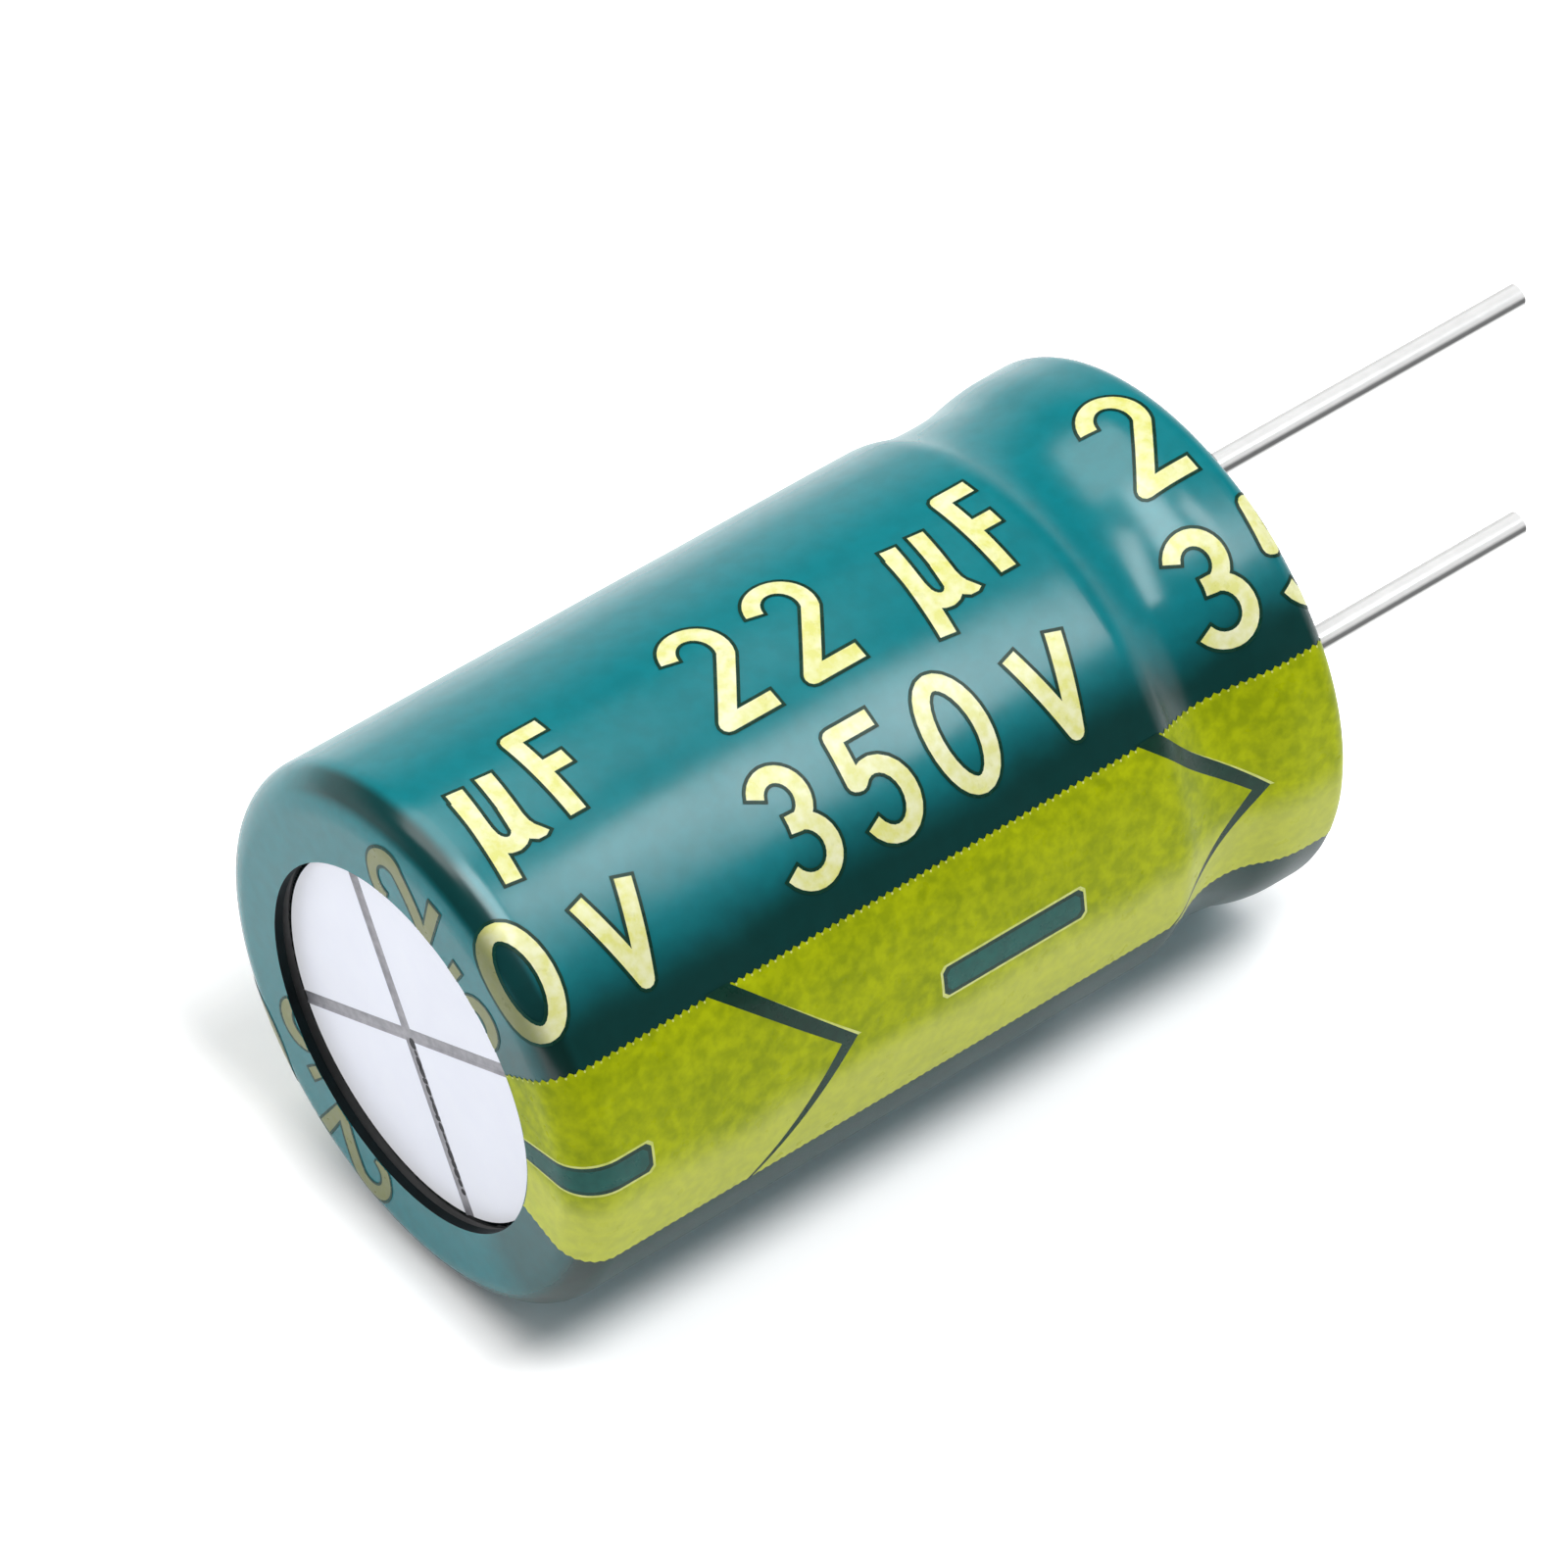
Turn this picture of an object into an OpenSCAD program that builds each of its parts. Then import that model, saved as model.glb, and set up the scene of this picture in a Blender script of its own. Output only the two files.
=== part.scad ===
// Radial aluminium electrolytic capacitor, standing on its closed end.
// Z runs up the axis from the ring it rests on to the tips of the leads.
// The two leads stand on the X axis, the cathode on the +X side.

/* [Can] */
// Outside diameter of the drawn can
can_d = 12.5; // [11:0.1:16]
// Length of the can, from the closed end to the curled rim
can_l = 20.7; // [16:0.1:30]
// Wall thickness of the can
can_wall = 0.3; // [0.2:0.02:0.34]
// Thickness of the closed end
can_floor = 0.4; // [0.25:0.05:0.8]
// Outside corner radius at the closed end
can_corner = 0.7; // [0.4:0.05:1]
// Diameter of the coined vent panel in the closed end
panel_d = 9.5; // [7:0.1:10]
// Depth of the vent panel below the closed end's rim
panel_depth = 0.2; // [0.1:0.05:0.4]
// Width of each score line of the vent
score_w = 0.34; // [0.2:0.02:0.5]
// Depth of each score line
score_depth = 0.16; // [0.08:0.02:0.2]
// Turn of the vent's cross about the axis
score_turn = 48; // [0:1:90]

/* [Bead and curl] */
// Height of the bead's middle below the rim
bead_drop = 3.1; // [3:0.1:3.8]
// Depth of the bead that grips the seal
bead_depth = 0.75; // [0.5:0.05:1]
// Radius of the bead's hollow
bead_r = 0.9; // [0.7:0.05:1]
// Rounding of the can below the bead
bead_round_below = 0.36; // [0.34:0.02:0.6]
// Rounding of the can above the bead
bead_round_above = 2.8; // [1.8:0.1:3.2]
// Outside radius of the curled rim
curl_r = 0.5; // [0.4:0.05:0.6]
// Length of the curl's edge that turns down on to the seal
curl_leg = 0.25; // [0.15:0.05:0.4]
// How deep the curl's edge bites into the seal
curl_bite = 0.15; // [0.05:0.05:0.2]

/* [Sleeve] */
// Wall thickness of the shrunk sleeve
sleeve_wall = 0.22; // [0.12:0.02:0.3]
// Clearance between the sleeve and the can
sleeve_fit = 0.03; // [0.01:0.01:0.06]
// How far the sleeve stands off the bottom of the bead
waist_gap = 0.29; // [0.1:0.01:0.35]
// Outside corner radius of the sleeve at the lead end
head_corner = 0.42; // [0.34:0.02:0.7]
// Diameter of the sleeve's opening at the closed end
base_hole_d = 8.9; // [7:0.1:9.4]
// Diameter of the sleeve's opening at the lead end
head_hole_d = 9.8; // [8:0.1:10.4]

/* [Printed stripe] */
// Angle that the stripe covers round the sleeve
stripe_angle = 49; // [30:1:70]
// Turn of the stripe's middle from the cathode lead
stripe_turn = -20; // [-30:1:30]
// Thickness of the printed layer, which lies flush in the sleeve
print_t = 0.05; // [0.03:0.01:0.08]
// Length of one repeat of the printed pattern
print_pitch = 11.8; // [10:0.1:16]
// Height of the first chevron's tip above the base
chevron_tip = 7.34; // [6:0.1:9]
// How far each chevron's tip runs ahead of its ends
chevron_rise = 2.75; // [1.5:0.05:3.5]
// Gap of the chevron's wide limb, along the axis
chevron_wide = 0.62; // [0.3:0.02:1]
// Gap at the chevron's tip
chevron_mid = 0.44; // [0.25:0.02:0.8]
// Gap of the chevron's thin limb at its end
chevron_thin = 0.13; // [0.08:0.01:0.4]
// Length of the minus bar
minus_l = 3.9; // [2:0.1:5]
// Width of the minus bar
minus_w = 0.78; // [0.4:0.02:1.2]
// Height of the middle of the minus bar on the side
minus_z = 11.65; // [10.5:0.05:12.8]

/* [Seal] */
// Height of the rubber seal
seal_h = 4.6; // [4.2:0.1:5.2]
// Clearance between the seal and what it touches
seal_fit = 0.01; // [0.005:0.005:0.03]
// Chamfer round the foot of the seal
seal_chamfer = 0.3; // [0.1:0.05:0.5]
// Depth of the dimple where each lead comes out
dimple_depth = 0.25; // [0.1:0.05:0.4]

/* [Leads and tabs] */
// Distance between the leads
lead_pitch = 5; // [4.6:0.1:5.4]
// Diameter of the tinned wire
wire_d = 0.6; // [0.5:0.05:0.8]
// Length of the anode lead beyond the sleeve
anode_lead_l = 13; // [4:0.1:30]
// Length of the cathode lead beyond the sleeve
cathode_lead_l = 8.7; // [4:0.1:30]
// Chamfer of each cut tip
tip_chamfer = 0.1; // [0.04:0.02:0.16]
// Diameter of each tab's round boss
boss_d = 2.1; // [1.8:0.1:2.4]
// Length of the boss inside the seal
boss_in = 3.2; // [2.6:0.1:3.4]
// Length of the boss below the seal
boss_out = 0.3; // [0.1:0.05:0.6]
// Height of the cone between the boss and the weld
nose_h = 0.55; // [0.3:0.05:0.7]
// How far the weld on the wire's end stands out round the wire
weld_step = 0.06; // [0.02:0.01:0.1]
// Depth of the weld's end below the seal's top
weld_drop = 0.05; // [0.02:0.01:0.08]
// Thickness of each tab's flat blade
tab_t = 0.25; // [0.15:0.01:0.32]
// Half of the angle that the blade covers in the winding
tab_half_angle = 30; // [15:15:30]
// Space between the winding and the seal
tab_space = 1.35; // [1.1:0.05:2]
// Height of the blade's foot above the bottom of the winding
tab_foot = 1.5; // [0.5:0.1:4]

/* [Winding] */
// Thickness of the etched anode foil
anode_t = 0.14; // [0.1:0.01:0.18]
// Thickness of the cathode foil
cathode_t = 0.1; // [0.06:0.01:0.14]
// Thickness of each paper separator
paper_t = 0.1; // [0.06:0.01:0.14]
// Clearance between one layer and the next
wind_gap = 0.015; // [0.01:0.005:0.03]
// How much shorter each foil is than the paper, at each end
foil_margin = 0.6; // [0.2:0.1:1.2]
// Smallest radius of the open core that the mandrel leaves
mandrel_r = 0.8; // [0.5:0.05:1]
// Thickness of the closing tape
tape_t = 0.08; // [0.04:0.01:0.12]
// How much shorter the tape is than the paper, at each end
tape_margin = 0.8; // [0.2:0.1:2]
// Clearance between the winding and the can
wind_fit = 0.1; // [0.05:0.01:0.2]
// Clearance between the winding and the can's floor
floor_fit = 0.05; // [0.02:0.01:0.1]

/* [Hidden] */
$fn = 64;

// What a cutter runs past the face that it opens
over = 0.1;
// What an arc runs past the line or arc that it meets, so that the two cross
lap = 0.0001;

// The sleeve lies outside the can by its own wall and its clearance
skin = sleeve_wall + sleeve_fit;
can_r = can_d / 2;
body_r = can_r + skin;
body_l = can_l + 2 * skin;
can_base = skin;
can_top = can_base + can_l;
curl_z = can_top - curl_r;
bead_z = can_top - bead_drop;
bead_bottom = can_r - bead_depth;
waist_bottom = bead_bottom + skin + waist_gap;

// The curl's edge turns down this far in from the can's wall
leg_in = can_r - 2 * curl_r;
leg_out = leg_in + can_wall;
leg_end = curl_z - curl_leg;

panel_z = can_base + panel_depth;
floor_z = can_base + can_floor;
panel_r = panel_d / 2;
// The floor's inner face steps up over the panel, half a thickness further out
step_r = panel_r + can_floor / 2;

seal_top = leg_end + curl_bite;
seal_bottom = seal_top - seal_h;
boss_r = boss_d / 2;
wire_r = wire_d / 2;
boss_top = seal_bottom + boss_in;
nose_top = boss_top + nose_h;
weld_r = wire_r + weld_step;
wire_z = seal_top - weld_drop;

wind_bottom = floor_z + panel_depth + floor_fit;
wind_top = seal_bottom - tab_space;
spade_lift = 0.05;
// What the spade's foot stands out on each side of the blade
spade_lap = 0.06;
blade_lap = 0.3;

// Layers of the winding from the core outwards, and how far out each starts in a turn
layers = [anode_t, paper_t, cathode_t, paper_t];
offsets = [0, anode_t + wind_gap, anode_t + paper_t + 2 * wind_gap,
    anode_t + paper_t + cathode_t + 3 * wind_gap];
wind_pitch = anode_t + cathode_t + 2 * paper_t + 4 * wind_gap;
tab_lift = tab_t + wind_gap;
wind_step = 15;

// Turns inside the tabs, so that the blades lie under the leads
tab_r = lead_pitch / 2;
blade_in = tab_r - tab_t / 2 - wind_gap - anode_t;
inner_turns = floor((blade_in - mandrel_r) / wind_pitch - 0.5);
core_r = blade_in - wind_pitch * (inner_turns + 0.5);
anode_tab_at = 360 * inner_turns + 180;
cathode_tab_at = 360 * inner_turns;

// Whole turns that fit inside the can, with the tape and the bulge over the tabs
wind_room = can_r - can_wall - wind_fit - tape_t - tab_lift;
turns = floor((wind_room - core_r) / wind_pitch) - 1;
wind_end = 360 * turns;
foil_start = 60;
foil_end = wind_end - 60;

// A size to the nearest 0.0001 mm, so that arcs of different sizes meet point to point
function fine(x) = round(x * 10000) / 10000;

// Height between the middle of a bead and the middle of the rounding beside it
function flank(round) = fine(sqrt((bead_r + round) ^ 2 - (bead_r - bead_depth + round) ^ 2));

// Radius of the hollow that meets a rounding smoothly and is narrowest at bottom
function hollow_r(bottom, centre_r, height, round) =
    fine(((bottom - centre_r) ^ 2 + height ^ 2 - round ^ 2) / (2 * (round - bottom + centre_r)));

// What one side of a waist leaves out, from its narrowest ring at zero up to the straight wall
module groove_side(bottom, rim_r, height, round, inset) {
    centre_r = rim_r - round + lap;
    hollow = hollow_r(bottom, centre_r, height, round - lap);
    out = max(rim_r, bottom + hollow) + over;
    difference() {
        union() {
            intersection() {
                translate([bottom + hollow, 0]) circle(hollow + inset);
                square([out, height]);
            }
            polygon([[bottom + hollow, 0], [centre_r, height], [out, height], [out, 0]]);
        }
        translate([centre_r, height]) circle(round - inset);
    }
}

// The groove over the bead, for a wall that is narrowest at bottom and moved inwards by inset
module groove(bottom, rim_r, grow, inset) {
    translate([0, bead_z]) {
        groove_side(bottom, rim_r, flank(bead_round_above), bead_round_above + grow, inset);
        mirror([0, 1]) groove_side(bottom, rim_r, flank(bead_round_below), bead_round_below + grow, inset);
    }
}

// What rounding off leaves out at the outer corner of an end that sits on z = 0
module corner_cut(rim_r, corner, inset) {
    translate([rim_r - corner, 0]) difference() {
        translate([0, inset - over]) square([corner + over, corner - inset + over]);
        translate([0, corner]) circle(corner - inset + lap);
    }
}

module sleeve_outline(inset) {
    difference() {
        translate([0, inset]) square([body_r - inset, body_l - 2 * inset]);
        groove(waist_bottom, body_r, skin, inset);
        corner_cut(body_r, can_corner + skin, inset);
        translate([0, body_l]) mirror([0, 1]) corner_cut(body_r, head_corner, inset);
    }
}

// A closed layer of the sleeve's form, from depth outer to depth inner
module shell(outer, inner) {
    rotate_extrude() difference() {
        sleeve_outline(outer);
        sleeve_outline(inner);
    }
}

module end_openings() {
    translate([0, 0, -over]) cylinder(d = base_hole_d, h = body_l / 2);
    translate([0, 0, body_l / 2]) cylinder(d = head_hole_d, h = body_l / 2 + over);
}

// Cuts a flat outline, drawn in Y and Z, through the printed side
module through_print() {
    rotate([90, 0, 90]) linear_extrude(body_r + over) children();
}

module chevron(tip) {
    reach = body_r * sin(stripe_angle / 2);
    through_print() polygon([
        [-reach, tip - chevron_rise], [0, tip], [reach, tip - chevron_rise],
        [reach, tip - chevron_rise - chevron_thin], [0, tip - chevron_mid],
        [-reach, tip - chevron_rise - chevron_wide]]);
}

module minus_bar(middle) {
    through_print() translate([-minus_w / 2, middle - minus_l / 2]) square([minus_w, minus_l]);
}

// The sector of the sleeve that is printed, less its chevrons and minus bars
module print_mask() {
    spread = (body_r + over) * tan(stripe_angle / 2);
    rotate(stripe_turn) difference() {
        translate([0, 0, -over]) linear_extrude(body_l + 2 * over)
            polygon([[0, 0], [body_r + over, -spread], [body_r + over, spread]]);
        chevron(chevron_tip);
        chevron(chevron_tip + print_pitch);
        minus_bar(minus_z);
        minus_bar(minus_z - print_pitch);
    }
}

// What the printed layer is taken out of: the printed sector, outside a given depth
module print_recess(depth) {
    difference() {
        print_mask();
        rotate_extrude() sleeve_outline(depth);
    }
}

module sleeve() color([0.05, 0.5, 0.55]) {
    difference() {
        shell(0, sleeve_wall);
        end_openings();
        print_recess(print_t);
    }
}

module polarity_stripe() color([0.68, 0.71, 0.16]) {
    difference() {
        intersection() {
            shell(0, print_t);
            print_mask();
        }
        end_openings();
    }
}

// Space inside the can, above its stepped floor
module can_inside() {
    difference() {
        translate([0, floor_z]) square([can_r - can_wall, curl_z - floor_z]);
        groove(bead_bottom, can_r, 0, can_wall);
        polygon([[0, floor_z - over], [step_r + over, floor_z - over], [step_r, floor_z],
            [step_r - panel_depth, floor_z + panel_depth], [0, floor_z + panel_depth]]);
    }
}

module can_section() {
    difference() {
        translate([0, can_base]) square([can_r, curl_z - can_base]);
        groove(bead_bottom, can_r, 0, 0);
        translate([0, can_base]) corner_cut(can_r, can_corner, 0);
        can_inside();
        polygon([[0, can_base - over], [panel_r + over, can_base - over],
            [panel_r - panel_depth, panel_z], [0, panel_z]]);
    }
    intersection() {
        translate([can_r - curl_r, curl_z]) difference() {
            circle(curl_r);
            circle(curl_r - can_wall);
        }
        translate([leg_in, curl_z]) square([2 * curl_r, curl_r]);
    }
    translate([leg_in, leg_end]) square([can_wall, curl_leg]);
}

// One score line across the vent panel, cut as a vee
module score_line() {
    reach = panel_r - panel_depth - over;
    translate([-reach, 0, panel_z]) rotate([90, 0, 90]) linear_extrude(2 * reach)
        polygon([[-score_w / 2, -over], [score_w / 2, -over], [score_w / 2, 0],
            [0, score_depth], [-score_w / 2, 0]]);
}

module can() color([0.85, 0.86, 0.9]) {
    difference() {
        rotate_extrude() can_section();
        for (turn = [0, 90]) rotate(score_turn + turn) score_line();
    }
}

// The bung fills the can's neck, rises inside the curl and is bitten by the curl's edge
module seal_section() {
    inside = can_wall + seal_fit;
    difference() {
        union() {
            translate([0, seal_bottom]) square([can_r - inside, curl_z - seal_bottom]);
            intersection() {
                translate([can_r - curl_r, curl_z]) circle(curl_r - inside);
                translate([leg_out, curl_z]) square(curl_r);
            }
        }
        groove(bead_bottom, can_r, 0, inside);
        translate([0, seal_top]) square([leg_out + seal_fit, curl_r + over]);
        translate([leg_in - seal_fit, leg_end - seal_fit])
            square([can_wall + 2 * seal_fit, curl_leg + over]);
        polygon([[can_r - inside - seal_chamfer, seal_bottom], [can_r, seal_bottom - over],
            [can_r, seal_bottom + seal_chamfer], [can_r - inside, seal_bottom + seal_chamfer]]);
    }
}

// Stepped hole for a tab's boss, its nose and its weld to the wire
module lead_hole() {
    bore_r = weld_r + seal_fit;
    translate([0, 0, seal_bottom - over]) cylinder(r = boss_r + seal_fit, h = boss_in + over);
    translate([0, 0, boss_top]) cylinder(r1 = boss_r + seal_fit, r2 = bore_r, h = nose_h + seal_fit);
    translate([0, 0, nose_top]) cylinder(r = bore_r, h = seal_top - nose_top + over);
    translate([0, 0, seal_top - dimple_depth])
        cylinder(r1 = bore_r, r2 = bore_r + 2 * (dimple_depth + over), h = dimple_depth + over);
}

module end_seal() color([0.1, 0.1, 0.11]) {
    difference() {
        rotate_extrude() seal_section();
        for (side = [-1, 1]) translate([side * tab_r, 0, 0]) lead_hole();
    }
}

// How far a tab pushes out the layers that are wound over it, at an angle from its middle
function bulge(apart) =
    apart <= tab_half_angle ? tab_lift
    : apart >= tab_half_angle + 45 ? 0
    : tab_lift * (1 + cos(4 * (apart - tab_half_angle))) / 2;

// The same for one layer, which lies over the tab only from the tab's own turn and layer on
function pushed(angle, layer, tab_at, tab_layer) =
    let (passed = round((angle - tab_at) / 360), apart = abs(angle - tab_at - 360 * passed))
    passed > 0 || (passed == 0 && layer > tab_layer) ? bulge(apart) : 0;

// Inner radius of a layer of the winding at an angle, counted in degrees from its start
function seat(angle, layer) = core_r + wind_pitch * angle / 360 + offsets[layer]
    + pushed(angle, layer, anode_tab_at, 0) + pushed(angle, layer, cathode_tab_at, 2);

function polar(radius, angle) = [radius * cos(angle), radius * sin(angle)];

// One wound sheet of a given thickness, lying out from its layer's seat
module wound(layer, out, thick, start, end, low, high) {
    translate([0, 0, low]) linear_extrude(high - low) polygon(concat(
        [for (a = [start:wind_step:end]) polar(seat(a, layer) + out, a)],
        [for (a = [end:-wind_step:start]) polar(seat(a, layer) + out + thick, a)]));
}

module foil(layer) {
    wound(layer, 0, layers[layer], foil_start, foil_end, wind_bottom + foil_margin, wind_top - foil_margin);
}

module separator(layer) {
    wound(layer, 0, layers[layer], 0, wind_end, wind_bottom, wind_top);
}

module anode_foil() color([0.72, 0.73, 0.75]) foil(0);
module cathode_foil() color([0.8, 0.81, 0.83]) foil(2);
module inner_separator() color([0.86, 0.8, 0.66]) separator(1);
module outer_separator() color([0.86, 0.8, 0.66]) separator(3);

module winding_tape() color([0.75, 0.62, 0.4]) {
    wound(0, 0, tape_t, wind_end + wind_step, wind_end + 360 - wind_step,
        wind_bottom + tape_margin, wind_top - tape_margin);
}

// A tab's blade lies on its foil, its boss is pressed flat above the winding, and its nose holds the wire
module tab(side, layer, at) {
    spade_bottom = wind_top + spade_lift;
    spade_h = seal_bottom - boss_out - spade_bottom;
    foot = tab_t / 2 + spade_lap;
    wound(layer, layers[layer] + wind_gap, tab_t, at - tab_half_angle, at + tab_half_angle,
        wind_bottom + tab_foot, spade_bottom + blade_lap);
    translate([side * tab_r, 0, 0]) {
        intersection() {
            translate([0, 0, spade_bottom]) cylinder(r = boss_r, h = spade_h);
            translate([0, 0, spade_bottom]) rotate([90, 0, 0]) linear_extrude(2 * boss_d, center = true)
                polygon([[-foot, 0], [foot, 0], [boss_r, spade_h], [-boss_r, spade_h]]);
        }
        translate([0, 0, seal_bottom - boss_out]) cylinder(r = boss_r, h = boss_in + boss_out);
        translate([0, 0, boss_top]) cylinder(r1 = boss_r, r2 = weld_r, h = nose_h);
        translate([0, 0, nose_top]) cylinder(r = weld_r, h = wire_z - nose_top);
    }
}

module anode_tab() color([0.7, 0.71, 0.74]) tab(-1, 0, anode_tab_at);
module cathode_tab() color([0.7, 0.71, 0.74]) tab(1, 2, cathode_tab_at);

// A straight wire from the tab's weld to a chamfered tip
module lead(side, length) {
    top = body_l + length - tip_chamfer;
    translate([side * tab_r, 0, wire_z]) cylinder(r = wire_r, h = top - wire_z);
    translate([side * tab_r, 0, top]) cylinder(r1 = wire_r, r2 = wire_r - tip_chamfer, h = tip_chamfer);
}

module anode_lead() color([0.82, 0.83, 0.85]) lead(-1, anode_lead_l);
module cathode_lead() color([0.82, 0.83, 0.85]) lead(1, cathode_lead_l);

sleeve();
polarity_stripe();
can();
end_seal();
anode_tab();
cathode_tab();
anode_lead();
cathode_lead();
anode_foil();
inner_separator();
cathode_foil();
outer_separator();
winding_tape();
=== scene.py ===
"""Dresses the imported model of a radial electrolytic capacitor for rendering.

It runs as a script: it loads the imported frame, makes the pieces with operators, and sets the stage.
"""
import math
from contextlib import contextmanager

import bmesh
import bpy
from bpy.props import FloatProperty, FloatVectorProperty, IntProperty, PointerProperty, StringProperty
from mathutils import Matrix, Vector, noise
from mathutils.geometry import delaunay_2d_cdt


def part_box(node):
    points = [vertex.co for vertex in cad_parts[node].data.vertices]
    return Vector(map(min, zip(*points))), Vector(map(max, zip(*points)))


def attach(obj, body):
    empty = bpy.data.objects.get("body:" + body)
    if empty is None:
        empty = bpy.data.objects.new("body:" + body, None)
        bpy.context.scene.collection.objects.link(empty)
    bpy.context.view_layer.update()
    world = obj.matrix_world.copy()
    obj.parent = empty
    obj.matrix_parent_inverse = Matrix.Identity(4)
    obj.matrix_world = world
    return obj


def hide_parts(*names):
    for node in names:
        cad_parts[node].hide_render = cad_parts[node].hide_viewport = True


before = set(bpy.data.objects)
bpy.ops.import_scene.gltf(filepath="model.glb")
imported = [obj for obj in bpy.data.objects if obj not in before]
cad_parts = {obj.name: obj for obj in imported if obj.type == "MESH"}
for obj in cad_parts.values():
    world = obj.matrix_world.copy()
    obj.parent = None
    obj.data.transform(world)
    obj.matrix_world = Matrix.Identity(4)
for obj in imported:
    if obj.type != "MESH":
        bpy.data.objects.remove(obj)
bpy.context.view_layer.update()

bl_info = {
    "name": "Radial Capacitor Dressing",
    "version": (1, 0, 0),
    "blender": (4, 5, 0),
    "location": "3D View > Sidebar > Capacitor",
    "description": "Shrink film, printing, vent, wires and studio for the packed capacitor",
    "category": "Object",
}

MM = 0.001
BODY_R, _, BODY_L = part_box("sleeve")[1]
AXIS = Vector((0.0, 0.0, 1.0))

# The floor's normal, the side that lies nearer in the photo, and the camera's own three axes
FLOOR_UP = Vector((-0.2079, -0.9782, 0.0)).normalized()
NEAR_SIDE = Vector((0.763, -0.162, -0.627))
VIEW_RIGHT = Vector((0.612557, -0.130203, 0.779629))
VIEW_UP = Vector((-0.687724, -0.573993, 0.444487))
VIEW_BACK = Vector((0.389628, -0.808443, -0.441147))

# The lamps' aim, the level at which the room shows white, and the azimuth from which the wires' painted
# dark reflection runs
LAMP_AIM = Vector((0.0, 0.0, 10.6 * MM))
WHITE_LEVEL = 1.25
WIRE_SIDE = math.radians(205.73)


class CapFilmSizes(bpy.types.PropertyGroup):
    """Sizes of the shrunk film"""
    radius: FloatProperty(
        name="Radius", description="Outer radius of the film", default=BODY_R, unit="LENGTH")
    length: FloatProperty(
        name="Length", description="Length over both folded ends", default=BODY_L, unit="LENGTH")
    wall: FloatProperty(name="Wall", description="Thickness of the film", default=0.22 * MM, unit="LENGTH")
    base_corner: FloatProperty(
        name="Base corner", description="Radius of the corner at the closed end", default=0.95 * MM,
        unit="LENGTH")
    head_corner: FloatProperty(
        name="Head corner", description="Radius of the corner at the lead end", default=0.42 * MM,
        unit="LENGTH")
    base_hole: FloatProperty(
        name="Base opening", description="Radius of the opening over the vent", default=4.45 * MM,
        unit="LENGTH")
    head_hole: FloatProperty(
        name="Head opening", description="Radius of the opening over the seal", default=4.9 * MM,
        unit="LENGTH")
    waist_z: FloatProperty(
        name="Waist height", description="Height of the waist's narrowest place", default=17.85 * MM,
        unit="LENGTH")
    waist_r: FloatProperty(
        name="Waist radius", description="Radius of the waist's narrowest place", default=6.12 * MM,
        unit="LENGTH")
    flank_above: FloatProperty(
        name="Flank above", description="Length of the waist's slope towards the leads",
        default=2.2333 * MM, unit="LENGTH")
    round_above: FloatProperty(
        name="Round above", description="Radius of the shoulder towards the leads", default=3.05 * MM,
        unit="LENGTH")
    flank_below: FloatProperty(
        name="Flank below", description="Length of the waist's slope towards the base", default=1.55 * MM,
        unit="LENGTH")
    round_below: FloatProperty(
        name="Round below", description="Radius of the shoulder towards the base", default=1.05 * MM,
        unit="LENGTH")
    dent: FloatProperty(
        name="Waist dents", description="Depth of the soft dents where the film spans the bead",
        default=0.2 * MM, unit="LENGTH")
    span: FloatProperty(
        name="Span", description="How much of the waist's depth the film bridges on its looser side",
        default=0.42, min=0.0, max=1.0)
    span_turn: FloatProperty(
        name="Span azimuth", description="Azimuth of the looser side", default=math.radians(-148),
        subtype="ANGLE")
    ripple: FloatProperty(
        name="Ripples", description="Depth of the faint shrink ripples elsewhere", default=0.012 * MM,
        unit="LENGTH")
    around: IntProperty(name="Steps around", description="Mesh steps round the film", default=256, min=64)


class CapVentSizes(bpy.types.PropertyGroup):
    """Sizes of the scored panel at the closed end"""
    radius: FloatProperty(
        name="Panel radius", description="Radius of the crowned panel", default=4.6 * MM, unit="LENGTH")
    height: FloatProperty(
        name="Panel height", description="Height of the panel above the base", default=0.43 * MM,
        unit="LENGTH")
    crown: FloatProperty(
        name="Crown", description="How far each petal bulges", default=0.06 * MM, unit="LENGTH")
    score: FloatProperty(
        name="Score width", description="Width of the crossed score", default=0.34 * MM, unit="LENGTH")
    depth: FloatProperty(
        name="Score depth", description="Depth of the crossed score", default=0.035 * MM, unit="LENGTH")
    turn: FloatProperty(
        name="Score azimuth", description="Azimuth of the score's marked arm", default=math.radians(51.2),
        subtype="ANGLE")
    offset: FloatVectorProperty(
        name="Score offset", description="Where the arms cross, along and across the marked arm",
        default=(-0.09 * MM, 0.23 * MM), size=2, precision=6, unit="LENGTH")
    marks: IntProperty(
        name="Press marks", description="Marks pressed along the marked arm", default=17, min=0)


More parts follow.
